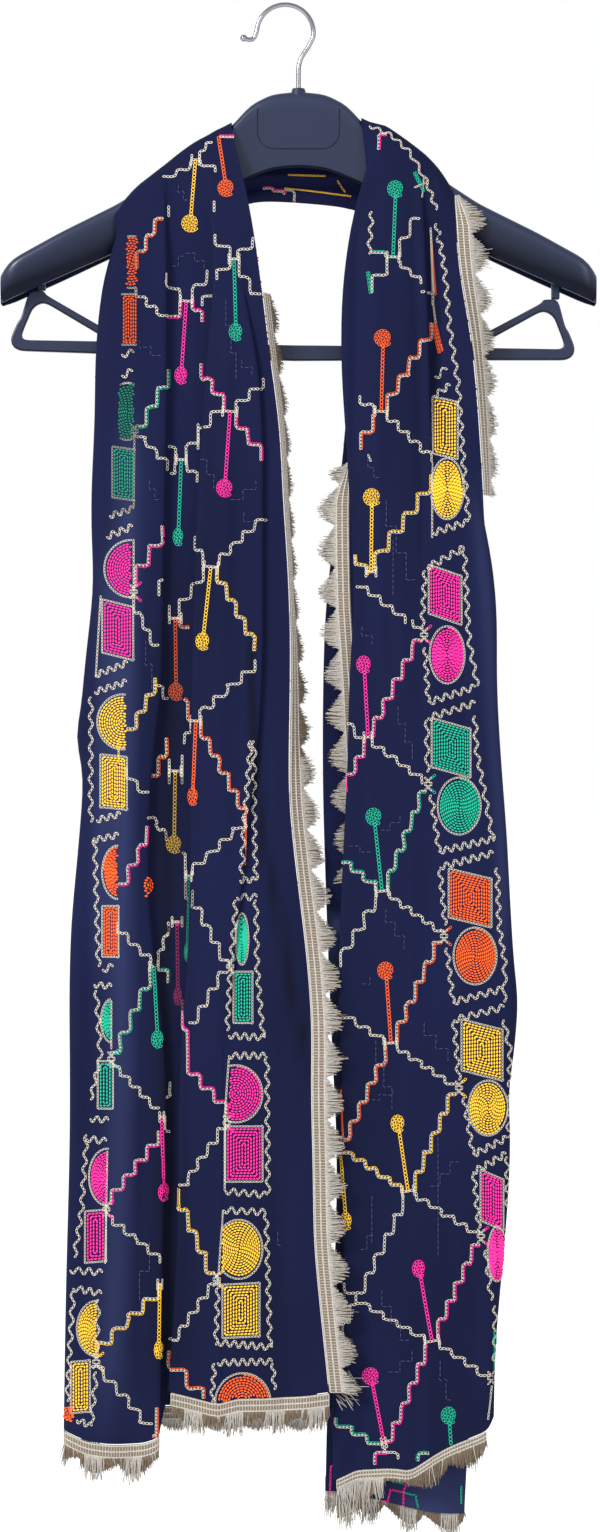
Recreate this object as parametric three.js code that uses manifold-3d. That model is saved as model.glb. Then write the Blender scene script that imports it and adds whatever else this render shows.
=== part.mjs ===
// Dupatta draped over a moulded suit hanger. Millimetres, +Z up, the front faces -Y.
// The origin is where a rail bears inside the hook, straight above the hanger's middle.
import * as THREE from "three";
import { mergeVertices } from "three/addons/utils/BufferGeometryUtils.js";
import Module from "manifold-3d";

const wasm = await Module();
wasm.setup();

// ---- Driving sizes ------------------------------------------------------------------------

const CLOTH = {
  wall: 1.2, // thickness of one layer
  seam: 0.3, // gap between neighbouring pieces
  nose: 2, // how far a fold's rounding reaches back from its edge
  layerStep: 2.6, // depth from one flat layer of a tuck to the next
  valley: 8, // depth of the groove between two pleats
};
const HANGER = { wall: 2.4, corner: 6, boss: 5, bossTop: -58.5, end: 222 };
const HOOK = { wire: 1.75, bend: 21.4, centreX: -10, centreZ: -16.8, tip: 2.6, stemFoot: -58.2 };
const BAR = { thick: 6, tilt: 0.98, peg: 192, pegTop: -213 };
const PEG_ROOT = -178; // the pegs grow from the inside of the arms here
const LACE = { thick: 1.6, heading: 10.4, fringe: 12, scallop: 30, locks: 3, tipShare: 0.36 };
const RIM = { round: 10, clear: 5 }; // how the cloth turns over the top edge of an arm

const NAVY = 0x1e2252;
const HANGER_BLUE = 0x303c58;
const LACE_SILVER = 0xcdc8be;

// ---- Numbers and tables -------------------------------------------------------------------

const mix = (a, b, t) => a + (b - a) * t;
const clamp = (value, low = 0, high = 1) => Math.min(high, Math.max(low, value));
const ease = (t) => clamp(t) ** 2 * (3 - 2 * clamp(t));
const table = (names, rows) =>
  rows.map((row) => Object.fromEntries(names.map((name, i) => [name, row[i]])));

// The value of a column at a place between the rows, which run down or up along `key`.
function lookUp(rows, key, column, at) {
  const rising = rows[0][key] < rows[rows.length - 1][key];
  const sorted = rising ? rows : [...rows].reverse();
  if (at <= sorted[0][key]) return sorted[0][column];
  for (let i = 1; i < sorted.length; i++)
    if (at <= sorted[i][key]) {
      const [low, high] = [sorted[i - 1], sorted[i]];
      return mix(low[column], high[column], (at - low[key]) / (high[key] - low[key]));
    }
  return sorted[sorted.length - 1][column];
}

// ---- The hanger's profile, which the cloth lies on --------------------------------------------

const ARM = table(
  ["x", "top", "bottom", "halfDepth"],
  [
    [0, -61, -116, 7],
    [20, -63, -118, 7],
    [36, -71, -124, 7],
    [51, -88, -131, 8],
    [68, -101, -141, 9],
    [86, -113, -152, 10],
    [100, -122.5, -161, 11],
    [134, -145.5, -181, 14],
    [178, -168, -201, 18],
    [212, -187, -216, 19],
    [219, -193, -219, 17],
    [222, -199, -220, 12],
  ],
);
const arm = (column, x) => lookUp(ARM, "x", column, Math.abs(x));

// How far the cloth stands above the arm where it goes over it.
const LIFT = table(
  ["x", "lift"],
  [
    [-137, 2.8],
    [-112, 2.8],
    [-98, 3.5],
    [-80, 6],
    [-62, 5],
    [-50, 3],
    [47, 3],
    [66, 11],
    [82, 10],
    [95, 9],
    [106, 6],
    [116, 3],
  ],
);
const crestZ = (x) => arm("top", x) + lookUp(LIFT, "x", "lift", x);

// ---- Sections across the two panels ------------------------------------------------------------
// A section is a path of [x, y] points from the inner edge outwards and round to the back.

const LEFT = table(
  ["z", "inner", "tuck", "tuckDepth", "foldB", "foldA", "outer", "front"],
  [
    [-190, -29, -42, 0, -63, -97, -144, -30],
    [-220, -27, -38, 3, -63, -97, -147, -31],
    [-257, -22, -30, 16, -69, -97, -151, -32],
    [-309, -14, -26, 23, -71, -97, -151, -32],
    [-383, -11, -26, 22, -76, -99, -155, -32],
    [-442, -6, -26, 22, -78, -100, -153, -32],
    [-516, -6, -26, 21, -80, -101, -162, -32],
    [-575, -9, -33, 16, -80, -110, -159, -32.5],
    [-634, -3, -40, 13, -80, -111, -164, -33.5],
    [-694, 5, -46, 8, -81, -110, -170, -35],
    [-753, 10, -50, 3, -86, -98, -170, -36],
    [-812, 9, -50, 0, -89, -97, -169, -36],
    [-871, 11, -50, 0, -89, -99, -170, -36],
    [-930, 11, -50, 0, -90, -100, -172, -36],
    [-990, 19, -50, 0, -94, -101, -173, -36],
    [-1034, 23, -50, 0, -97, -102, -174, -36],
  ],
);
const RIGHT = table(
  ["z", "inner", "grooveIn", "grooveOut", "groove", "outer", "wrap", "front"],
  [
    [-190, 32, 94, 104, 1, 117, 0, -30],
    [-220, 31, 96, 105, 1, 121, 0, -31],
    [-257, 30, 97, 105, 1, 130, 0, -32],
    [-294, 32, 98, 105, 0.8, 132, 0, -32],
    [-338, 36, 100, 106, 0.2, 136, 0, -32],
    [-383, 38, 101, 107, 0, 139, 6, -32],
    [-442, 41, 102, 108, 0, 146, 16, -32],
    [-516, 36, 102, 108, 0, 147, 20, -32],
    [-575, 36, 103, 109, 0, 151, 20, -31.5],
    [-634, 32, 103, 109, 0, 156, 20, -30.5],
    [-694, 30, 104, 110, 0, 158, 22, -29],
    [-753, 28, 104, 110, 0, 163, 24, -28],
    [-812, 31, 104, 110, 0, 158, 30, -28],
    [-871, 30, 102, 108, 0, 157, 40, -28],
    [-930, 33, 98, 104, 0, 152, 52, -28],
    [-990, 29, 92, 98, 0, 146, 62, -28],
    [-1034, 25, 90, 96, 0, 145, 68, -28],
    [-1070, 25, 90, 96, 0, 145, 68, -28],
  ],
);

const evenly = (from, to, count, y) =>
  Array.from({ length: count }, (_, i) => [mix(from, to, i / (count - 1)), y]);
const between = (from, to, count, y) => evenly(from, to, count + 2, y).slice(1, -1);
const folding = (flat, folded, share) =>
  folded.map(([x, y], i) => [mix(flat[i][0], x, share), mix(flat[i][1], y, share)]);

// Three layers laid over each other: the cloth turns back at `far` and again at `edge`.
function tuckLeg(edge, depth, front) {
  const share = clamp(depth / 8);
  const [under, middle] = [front + 2 * CLOTH.layerStep, front + CLOTH.layerStep];
  const far = edge - depth;
  const folded = [
    [far + CLOTH.nose, under],
    [far, (under + middle) / 2],
    [far + CLOTH.nose, middle],
    [edge - CLOTH.nose, middle],
    [edge, (middle + front) / 2],
    [edge - CLOTH.nose, front],
  ];
  return folding(evenly(edge + 6, edge - 6, 6, front), folded, share);
}

// A groove between two pleats whose folds overhang it. `side` is +1 where x grows along the path.
function grooveLeg(near, far, front, share, side) {
  const floor = front + CLOTH.valley;
  const folded = [
    [near - 2 * side, front],
    [near, front + 2],
    [near - 3 * side, front + 4.5],
    [near - 1.5 * side, floor],
    [(near + far) / 2, floor + 1],
    [far + 1.5 * side, floor],
    [far + 3 * side, front + 4.5],
    [far, front + 2],
    [far + 2 * side, front],
  ];
  const shallow = evenly(near - 4 * side, far + 4 * side, 9, front);
  return folding(shallow, folded, share);
}

// Shallow upright waves of the hanging cloth, deeper towards the hem.
function flute(x, z, waves) {
  const fall = clamp((-190 - z) / 850);
  return waves.reduce(
    (sum, wave) => sum + wave.depth * mix(0.35, 1, fall) * Math.sin((x + wave.lean * z) / wave.width),
    0,
  );
}
const FRONT_WAVES = [
  { depth: 0.9, width: 9, lean: 0.02 },
  { depth: 0.6, width: 15, lean: -0.03 },
];
const BACK_WAVES = [
  { depth: 1.5, width: 7.5, lean: 0.012 },
  { depth: 0.8, width: 13, lean: -0.02 },
];

function leftSection(z) {
  const at = (column) => lookUp(LEFT, "z", column, z);
  const front = at("front");
  const [inner, tuck, depth, outer] = ["inner", "tuck", "tuckDepth", "outer"].map(at);
  const under = front + 2 * CLOTH.layerStep * clamp(depth / 8);
  const tucked = tuckLeg(tuck, depth, front);
  const back = -17;
  const waved = ([x, y]) => [x, y + flute(x, z, FRONT_WAVES)];
  const loose = ([x, y]) => [x, y + 1.6 + flute(x, z, BACK_WAVES)];
  return [
    [inner, under],
    [(inner + tucked[0][0]) / 2, under],
    ...tucked,
    ...between(tuck - CLOTH.nose, at("foldB") + 2, 6, front).map(waved),
    ...grooveLeg(at("foldB"), at("foldA"), front, 1, -1),
    ...between(at("foldA") - 2, outer + 5, 4, front).map(waved),
    [outer + 5, front + 0.3],
    [outer + 1.2, front + 3.5],
    [outer, (front + back) / 2],
    [outer + 1.2, back - 3.5],
    [outer + 5, back],
    [outer + 12, back],
    [outer + 12 + 2 * CLOTH.seam, back],
    ...between(outer + 12, inner - 10, 9, back).map(loose),
    [inner - 10, back - 0.5],
    [inner - 8, back - 3],
    [inner - 12, back - 6],
    [inner - 24, back - 6],
  ];
}
const LEFT_SEAM = 32; // the station where the back of the left panel begins

function rightSection(z) {
  const at = (column) => lookUp(RIGHT, "z", column, z);
  const [inner, outer, wrap, front] = ["inner", "outer", "wrap", "front"].map(at);
  const turned = front + 3.4;
  const waved = ([x, y]) => [x, y + flute(x + 40, z, FRONT_WAVES)];
  const rolled = [
    [outer - 5, front],
    [outer - 1.2, front + 2],
    [outer, front + 5],
    [outer - 1.2, front + 8],
    [outer - 5, front + 10],
    [outer - mix(5, wrap, 0.5), front + 10],
    [outer - Math.max(wrap, 10), front + 10],
  ];
  const flat = evenly(outer - 16, outer, 7, front);
  return [
    [inner + 26, turned],
    [inner + 14, turned],
    [inner + 3, turned],
    [inner, front + 1.7],
    [inner + 3, front],
    ...between(inner + 3, at("grooveIn") - 2, 7, front).map(waved),
    ...grooveLeg(at("grooveIn"), at("grooveOut"), front, at("groove"), 1),
    ...between(at("grooveOut") + 2, mix(outer - 16, outer - 5, clamp(wrap / 14)), 2, front),
    ...folding(flat, rolled, clamp(wrap / 14)),
  ];
}

// ---- Hems ----------------------------------------------------------------------------------------

const LEFT_HEM = table(
  ["x", "z"],
  [
    [23, -1033],
    [5, -1039],
    [-28, -1033],
    [-60, -1040],
    [-97, -1033],
    [-103, -1061],
    [-120, -1066],
    [-154, -1064],
    [-174, -1055],
  ],
);
const RIGHT_HEM = table(
  ["x", "z"],
  [
    [145, -1046],
    [140, -1057],
    [107, -1070],
    [83, -1086],
    [70, -1084],
    [43, -1086],
    [25, -1094],
  ],
);
const BACK_HEM = { left: -1040, rightInner: -1104, rightOuter: -1121 };

// ---- A panel: its sections, its crest over the arm and its hem --------------------------------------

const distance = (a, b) => Math.hypot(a[0] - b[0], a[1] - b[1]);

function makePanel(section, firstZ, frontCount, crestInner, crestOuter, hem) {
  const top = section(firstZ).slice(0, frontCount);
  const runs = top.map((p, i) => (i ? distance(p, top[i - 1]) : 0));
  const along = runs.map((_, i) => runs.slice(0, i + 1).reduce((a, b) => a + b, 0));
  const share = along.map((run) => run / along[along.length - 1]);
  const bottom = section(-1034);
  const crestX = (i) => mix(crestInner, crestOuter, share[i]);
  return {
    hemZ: (i) => hem(bottom[i], i),
    crest: (i) => [crestX(i), crestZ(crestX(i))],
    // A station of the front at a height; above the first section it runs up over the arm.
    point(i, z) {
      const [x, y] = section(Math.min(z, firstZ))[i];
      if (z <= firstZ) return new THREE.Vector3(x, y, z);
      const turn = Math.min(i, frontCount - 1);
      const topX = crestX(turn);
      const drop = crestZ(topX) - z;
      const down = clamp(drop / (crestZ(topX) - firstZ));
      const round = Math.sqrt(1 - (1 - clamp(drop / RIM.round)) ** 2);
      const overArm = -(arm("halfDepth", topX) + RIM.clear) * round - CLOTH.seam / 2;
      if (i < frontCount)
        return new THREE.Vector3(mix(topX, x, ease(down)), mix(overArm, y, ease(down)), z);
      const shift = mix(topX, section(firstZ)[turn][0], ease(down)) - section(firstZ)[turn][0];
      return new THREE.Vector3(x + shift * clamp(1 - (i - turn) / 6), y, z);
    },
  };
}

const left = makePanel(leftSection, -190, LEFT_SEAM + 1, -50, -137, ([x, y], i) =>
  i > LEFT_SEAM ? BACK_HEM.left : i > LEFT_SEAM - 3 ? -1052 : lookUp(LEFT_HEM, "x", "z", x),
);
const RIGHT_COUNT = rightSection(-190).length;
const right = makePanel(rightSection, -190, RIGHT_COUNT, 47, 116, ([x, y], i) =>
  i < 3 ? -1080 : i > RIGHT_COUNT - 4 ? -1046 : lookUp(RIGHT_HEM, "x", "z", x),
);

const RIM_DROPS = [0, 1, 3.5, 10];
const rowsBelow = (count) => Array.from({ length: count }, (_, i) => (i + 1) / count);

// Rows of a panel from its crest to its hem, for the stations from `first` to `last`.
function frontGrid(panel, first, last, rows) {
  const stations = Array.from({ length: last - first + 1 }, (_, k) => first + k);
  const rim = RIM_DROPS.map((drop) =>
    stations.map((i) => panel.point(i, panel.crest(i)[1] - drop)),
  );
  const hanging = rowsBelow(rows).map((share) =>
    stations.map((i) => panel.point(i, mix(panel.crest(i)[1] - RIM.round, panel.hemZ(i), share))),
  );
  return [...rim, ...hanging];
}

// ---- Walls of cloth and strips of lace -----------------------------------------------------------------

function closedGeometry(points, triangles) {
  const geometry = new THREE.BufferGeometry();
  const volume = triangles.reduce((sum, [a, b, c]) => {
    const cross = new THREE.Vector3().crossVectors(points[b], points[c]);
    return sum + points[a].dot(cross);
  }, 0);
  const outward = volume < 0 ? triangles.map(([a, b, c]) => [a, c, b]) : triangles;
  geometry.setFromPoints(points);
  geometry.setIndex(outward.flat());
  geometry.computeVertexNormals();
  return geometry;
}

// A wall of even thickness about a grid of points, grid[row][station].
function wall(grid, thickness = CLOTH.wall) {
  const rows = grid.length;
  const columns = grid[0].length;
  const offset = (j, i) => {
    const across = new THREE.Vector3().subVectors(
      grid[j][Math.min(i + 1, columns - 1)],
      grid[j][Math.max(i - 1, 0)],
    );
    const down = new THREE.Vector3().subVectors(
      grid[Math.min(j + 1, rows - 1)][i],
      grid[Math.max(j - 1, 0)][i],
    );
    return across.cross(down).normalize().multiplyScalar(thickness / 2);
  };
  const points = [1, -1].flatMap((side) =>
    grid.flatMap((row, j) => row.map((p, i) => p.clone().addScaledVector(offset(j, i), side))),
  );
  const at = (side, j, i) => side * rows * columns + j * columns + i;
  const triangles = [];
  const quad = (a, b, c, d) => triangles.push([a, b, c], [a, c, d]);
  for (let j = 0; j + 1 < rows; j++)
    for (let i = 0; i + 1 < columns; i++) {
      quad(at(0, j, i), at(0, j, i + 1), at(0, j + 1, i + 1), at(0, j + 1, i));
      quad(at(1, j, i), at(1, j + 1, i), at(1, j + 1, i + 1), at(1, j, i + 1));
    }
  for (let i = 0; i + 1 < columns; i++) {
    quad(at(1, 0, i), at(1, 0, i + 1), at(0, 0, i + 1), at(0, 0, i));
    quad(at(0, rows - 1, i), at(0, rows - 1, i + 1), at(1, rows - 1, i + 1), at(1, rows - 1, i));
  }
  for (let j = 0; j + 1 < rows; j++) {
    quad(at(0, j, 0), at(0, j + 1, 0), at(1, j + 1, 0), at(1, j, 0));
    const end = columns - 1;
    quad(at(1, j, end), at(1, j + 1, end), at(0, j + 1, end), at(0, j, end));
  }
  return closedGeometry(points, triangles);
}

// Points at even steps along a route of points.
function stepsAlong(route, step) {
  const runs = route.slice(1).map((p, i) => p.distanceTo(route[i]));
  const total = runs.reduce((a, b) => a + b, 0);
  const count = Math.max(1, Math.round(total / step));
  return Array.from({ length: count + 1 }, (_, k) => {
    let left = (total * k) / count;
    let i = 0;
    while (i < runs.length - 1 && left > runs[i]) left -= runs[i++];
    return route[i].clone().lerp(route[i + 1], clamp(left / runs[i]));
  });
}

// A heading strip along an edge with tapered locks fused to it, longest in the middle of a scallop.
// `lean(point)` is how far the strip turns back from the plane of the cloth, in degrees.
function lace(route, { along, back, lean = () => 0, gap = CLOTH.seam, fringe = LACE.fringe }) {
  const samples = stepsAlong(route, LACE.scallop / LACE.locks);
  const half = LACE.thick / 2;
  const frames = samples.map((p) => {
    const angle = THREE.MathUtils.degToRad(lean(p));
    const out = along.clone().multiplyScalar(Math.cos(angle)).addScaledVector(back, Math.sin(angle));
    const face = along.clone().multiplyScalar(-Math.sin(angle)).addScaledVector(back, Math.cos(angle));
    const base = p.clone().addScaledVector(along, gap + half * Math.abs(Math.sin(angle)));
    return { out, face, base };
  });
  const points = frames.flatMap(({ out, face, base }) =>
    [0, LACE.heading].flatMap((reach) =>
      [half, -half].map((side) =>
        base.clone().addScaledVector(out, reach).addScaledVector(face, side),
      ),
    ),
  );
  const triangles = [];
  const quad = (a, b, c, d) => triangles.push([a, b, c], [a, c, d]);
  frames.slice(1).forEach((_, k) => {
    const [a, b] = [4 * k, 4 * (k + 1)]; // near front, near back, far front, far back
    const phase = ((k % LACE.locks) + 0.5) / LACE.locks;
    const length = fringe * mix(0.5, 1, Math.sin(Math.PI * phase));
    const tips = [-1, 1].map((side) => {
      const share = 0.5 + (side * LACE.tipShare) / 2;
      const foot = frames[k].base.clone().lerp(frames[k + 1].base, share);
      return foot.addScaledVector(frames[k].out, LACE.heading + length);
    });
    const tip = points.length;
    points.push(...tips);
    quad(a, a + 2, b + 2, b);
    quad(a + 1, b + 1, b + 3, a + 3);
    quad(a, b, b + 1, a + 1);
    quad(a + 2, tip, tip + 1, b + 2);
    quad(a + 3, b + 3, tip + 1, tip);
    triangles.push([a + 2, a + 3, tip], [b + 2, tip + 1, b + 3]);
  });
  const end = 4 * (frames.length - 1);
  quad(0, 1, 3, 2);
  quad(end, end + 2, end + 3, end + 1);
  return closedGeometry(points, triangles);
}

// ---- Hanger ----------------------------------------------------------------------------------------

function solid(geometry) {
  const bare = geometry.clone();
  bare.deleteAttribute("normal");
  bare.deleteAttribute("uv");
  const merged = mergeVertices(bare, 1e-4);
  const vertProperties = merged.attributes.position.array;
  const triVerts = new Uint32Array(merged.index.array);
  return new wasm.Manifold(new wasm.Mesh({ numProp: 3, vertProperties, triVerts }));
}

function geometryOf(made) {
  const mesh = made.getMesh();
  const geometry = new THREE.BufferGeometry();
  geometry.setAttribute("position", new THREE.BufferAttribute(mesh.vertProperties, 3));
  geometry.setIndex(new THREE.BufferAttribute(mesh.triVerts, 1));
  geometry.computeVertexNormals();
  return geometry;
}

// A closed loft through rings of [y, z] points, one ring at each x.
function loft(rings) {
  const count = rings[0].ring.length;
  const points = rings.flatMap(({ x, ring }) => ring.map(([y, z]) => new THREE.Vector3(x, y, z)));
  const triangles = [];
  for (let k = 0; k + 1 < rings.length; k++)
    for (let i = 0; i < count; i++) {
      const next = (i + 1) % count;
      const [a, b, c, d] = [k * count + i, k * count + next, (k + 1) * count + next, (k + 1) * count + i];
      triangles.push([a, b, c], [a, c, d]);
    }
  const outline = rings[0].ring.map(([y, z]) => new THREE.Vector2(y, z));
  const end = (rings.length - 1) * count;
  THREE.ShapeUtils.triangulateShape(outline, []).forEach(([a, b, c]) => {
    triangles.push([a, c, b], [end + a, end + b, end + c]);
  });
  return closedGeometry(points, triangles);
}

// An arm's section: upright sides and a rounded top, open to an offset of itself inside.
function armRing(x, inset, bottomDrop) {
  const halfDepth = arm("halfDepth", x) - inset;
  const top = arm("top", x) - inset;
  const bottom = arm("bottom", x) - bottomDrop;
  const corner = Math.min(HANGER.corner, halfDepth * 0.8);
  const arc = [0, 30, 60, 90].map((degrees) => THREE.MathUtils.degToRad(degrees));
  const one = arc.map((a) => [
    halfDepth - corner + corner * Math.cos(a),
    top - corner + corner * Math.sin(a),
  ]);
  const other = [...one].reverse().map(([y, z]) => [-y, z]);
  return [[halfDepth, bottom], ...one, ...other, [-halfDepth, bottom]];
}

function hangerBody() {
  const xs = ARM.map((row) => row.x);
  const stations = [...xs.slice(1).reverse().map((x) => -x), ...xs];
  const shell = solid(loft(stations.map((x) => ({ x, ring: armRing(x, 0, 0) }))));
  const hollowXs = stations.filter((x) => Math.abs(x) < HANGER.end - HANGER.wall);
  const hollow = solid(loft(hollowXs.map((x) => ({ x, ring: armRing(x, HANGER.wall, 5) }))));
  const boss = new THREE.CylinderGeometry(HANGER.boss, HANGER.boss + 1.5, 6, 20);
  boss.rotateX(Math.PI / 2).translate(0, 0, HANGER.bossTop - 3);
  const panel = new THREE.ExtrudeGeometry(namePlateOutline(), { depth: 2, bevelEnabled: false });
  panel.rotateX(Math.PI / 2).translate(0, -arm("halfDepth", 0) + 0.9, 0);
  const slope = Math.sin(THREE.MathUtils.degToRad(BAR.tilt));
  const pegs = [-1, 1].map((side) => {
    const foot = BAR.pegTop + CLOTH.seam - side * BAR.peg * slope;
    const peg = new THREE.BoxGeometry(6, 8, PEG_ROOT - foot);
    return solid(peg.translate(side * BAR.peg, 0, (PEG_ROOT + foot) / 2));
  });
  const body = shell.subtract(hollow).add(solid(boss)).subtract(solid(panel));
  return geometryOf(pegs.reduce((made, peg) => made.add(peg), body));
}

// The blank plate moulded into the middle: square shoulders above and round corners below.
function namePlateOutline() {
  const [half, top, bottom, round] = [31, -72, -105, 11];
  const shape = new THREE.Shape();
  shape.moveTo(-half, top);
  shape.lineTo(half, top);
  shape.lineTo(half, bottom + round);
  shape.absarc(half - round, bottom + round, round, 0, -Math.PI / 2, true);
  shape.lineTo(-half + round, bottom);
  shape.absarc(-half + round, bottom + round, round, -Math.PI / 2, -Math.PI, true);
  shape.closePath();
  return shape;
}

function hook() {
  const bow = Array.from({ length: 13 }, (_, k) => {
    const angle = THREE.MathUtils.degToRad(-8 + k * 15.5);
    return [HOOK.centreX + HOOK.bend * Math.cos(angle), HOOK.centreZ + HOOK.bend * Math.sin(angle)];
  });
  const stem = [
    [0, HOOK.stemFoot],
    [0, -50],
    [0, -42],
    [2, -35],
    [7, -28],
  ];
  const curl = [
    [-33.4, -21.2],
    [-37, -22],
    [-41, -20.6],
  ];
  const route = [...stem, ...bow, ...curl].map(([x, z]) => new THREE.Vector3(x, 0, z));
  const wire = new THREE.Shape().absarc(0, 0, HOOK.wire, 0, 2 * Math.PI);
  const extrudePath = new THREE.CatmullRomCurve3(route);
  const bent = new THREE.ExtrudeGeometry(wire, { steps: 44, curveSegments: 5, extrudePath });
  const tip = new THREE.SphereGeometry(HOOK.tip, 10, 7);
  tip.translate(curl[2][0], 0, curl[2][1]);
  return geometryOf(solid(bent).add(solid(tip)));
}

// Half of the trouser bar with its end loop, from the middle outwards; the other half mirrors it.
const BAR_HALF = [
  [0, -262],
  [90, -260],
  [204, -258],
  [209.5, -255],
  [211, -249],
  [201, -225],
  [197.5, -213],
  [186.5, -213],
  [185, -216],
  [130, -246.5],
  [118, -249.5],
  [0, -250.5],
];
const BAR_HOLE = [
  [189, -222],
  [195, -226],
  [203, -246],
  [201, -250],
  [144, -250],
  [141, -247],
  [184, -222.5],
];

function trouserBar() {
  const other = [...BAR_HALF].slice(1, -1).reverse().map(([x, z]) => [-x, z]);
  const outline = [...BAR_HALF, ...other].map(([x, z]) => new THREE.Vector2(x, z));
  const shape = new THREE.Shape(outline);
  shape.holes = [-1, 1].map((side) => new THREE.Path(BAR_HOLE.map(([x, z]) => new THREE.Vector2(side * x, z))));
  const bar = new THREE.ExtrudeGeometry(shape, { depth: BAR.thick, bevelEnabled: false });
  return bar.rotateX(Math.PI / 2).translate(0, BAR.thick / 2, 0);
}

// ---- The scarf behind the neck ------------------------------------------------------------------------

const NECK = table(
  ["topX", "topY", "topZ", "lowX", "lowY", "lowZ"],
  [
    [-46, 14, -98, -120, 25, -174],
    [-40, 15, -100, -92, 27, -170],
    [-33, 16, -101, -58, 26, -156],
    [-24, 17, -101, -35, 24, -144],
    [0, 18, -101, 0, 22, -143],
    [24, 17, -100, 36, 24, -143],
    [31, 16, -99, 56, 26, -152],
    [38, 15, -98, 80, 27, -160],
    [44, 14, -95, 102, 25, -165],
  ],
);
const NECK_STATIONS = 13;
const NECK_FOLDS = 3;

function neckGrid() {
  const shares = Array.from({ length: NECK_STATIONS }, (_, i) => i / (NECK_STATIONS - 1));
  const rim = (panelInner, panelOuter, drop) =>
    shares.map((share) => {
      const x = mix(panelInner, panelOuter, share);
      const round = Math.sqrt(1 - (1 - clamp(drop / RIM.round)) ** 2);
      const y = (arm("halfDepth", x) + RIM.clear) * round + CLOTH.seam / 2;
      return new THREE.Vector3(x, y, crestZ(x) - drop);
    });
  const behind = NECK.map((row, k) =>
    shares.map((share) => {
      const swell = Math.sin((Math.PI * (k + 0.5)) / NECK.length);
      const fold = 2 * swell * Math.sin(2 * Math.PI * NECK_FOLDS * share + 0.35 * k);
      return new THREE.Vector3(
        mix(row.topX, row.lowX, share),
        mix(row.topY, row.lowY, share) + fold,
        mix(row.topZ, row.lowZ, share),
      );
    }),
  );
  const leftRim = RIM_DROPS.map((drop) => rim(-50, -137, drop));
  const rightRim = RIM_DROPS.map((drop) => rim(47, 116, drop)).reverse();
  return [...leftRim, ...behind, ...rightRim];
}

// ---- Layers behind the right front ----------------------------------------------------------------------

const RIGHT_BACK = table(
  ["z", "inner", "outer"],
  [
    [-172, 60, 106],
    [-230, 40, 114],
    [-330, 34, 126],
    [-400, 25, 130],
    [-430, 20, 134],
    [-516, 18, 136],
    [-590, 18, 140],
    [-650, 20, 144],
    [-760, 24, 148],
    [-870, 30, 144],
    [-990, 24, 136],
    [-1060, 20, 126],
    [-1130, 20, 123],
  ],
);
const RIGHT_MID = table(
  ["z", "inner", "outer"],
  [
    [-300, 44, 84],
    [-335, 38, 84],
    [-440, 38, 84],
    [-480, 42, 84],
    [-560, 46, 84],
    [-600, 49, 84],
    [-700, 52, 80],
  ],
);

function layerGrid(rows, heights, columns, depth, hem) {
  return heights.map((share) =>
    Array.from({ length: columns }, (_, i) => {
      const across = i / (columns - 1);
      const low = hem(across);
      const z = mix(rows[0].z, low, share);
      const x = mix(lookUp(rows, "z", "inner", z), lookUp(rows, "z", "outer", z), across);
      return new THREE.Vector3(x, depth(x, z, across), z);
    }),
  );
}

const rightBackDepth = (x, z, across) => {
  const top = ease((z + 260) / 90);
  return mix(-14, -18, top) + (1 - top) * (1.2 + flute(x, z, BACK_WAVES)) - 3 * (1 - across) ** 8;
};
const rightBackHem = (across) => mix(BACK_HEM.rightInner, BACK_HEM.rightOuter, ease(across * 1.15));
const midDepth = (x, z, across) => -23.6 + 0.3 * Math.sin(x / 6 + z / 60);

// ---- Lace routes -------------------------------------------------------------------------------------------

// A grid's own upright edge between two heights, so that a strip beside it runs parallel to it.
function edgeOf(grid, station, from, to) {
  const edge = grid.map((row) => row[station]);
  const onEdge = (z) => {
    const below = Math.max(1, edge.findIndex((p) => p.z <= z));
    const [a, b] = [edge[below - 1], edge[below]];
    return a.clone().lerp(b, (a.z - z) / (a.z - b.z));
  };
  return [onEdge(from), ...edge.filter((p) => p.z < from - 1 && p.z > to + 1), onEdge(to)];
}

// How the lace of the long inner edge turns back: nearly edge-on above, flat below.
const EDGE_LEAN = table(
  ["z", "lean"],
  [
    [-216, 68],
    [-300, 74],
    [-440, 78],
    [-500, 62],
    [-545, 50],
    [-575, 32],
    [-620, 22],
    [-690, 12],
    [-740, -4],
    [-1034, -2],
  ],
);

// The outer lace of the right panel curls back at both ends of the stretch that shows.
const OUTER_LEAN = table(
  ["z", "lean"],
  [
    [-150, 4],
    [-190, 16],
    [-212, 26],
    [-262, 46],
    [-335, 58],
    [-372, 64],
  ],
);
const leaning = (rows) => (p) => lookUp(rows, "z", "lean", p.z);

const hemRoute = (panel, stations) => stations.map((i) => panel.point(i, panel.hemZ(i)));
const stationsFrom = (first, last) => Array.from({ length: last - first + 1 }, (_, k) => first + k);
const sideways = new THREE.Vector3(1, 0, 0);
const towardBack = new THREE.Vector3(0, 1, 0);
const downward = new THREE.Vector3(0, 0, -1);
const hemLace = { along: downward, back: towardBack, gap: 1.4 };

// The back of the left panel, in step with the front's rows where the two meet.
function leftBackGrid(front) {
  const last = leftSection(-190).length - 1;
  const seam = front.slice(RIM_DROPS.length - 1).map((row) => row.at(-1).z);
  return seam.map((seamZ) => {
    const share = (seam[0] - seamZ) / (seam[0] - seam.at(-1));
    return stationsFrom(LEFT_SEAM + 1, last).map((i) => {
      const x = leftSection(-190)[i][0];
      const inside = clamp((i - LEFT_SEAM - 1) / 3);
      const top = mix(seam[0], Math.min(arm("bottom", x) + 8, -150), inside);
      const hem = mix(seam.at(-1), BACK_HEM.left, inside);
      return left.point(i, mix(top, hem, share));
    });
  });
}

// ---- The part ----------------------------------------------------------------------------------------------

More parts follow.
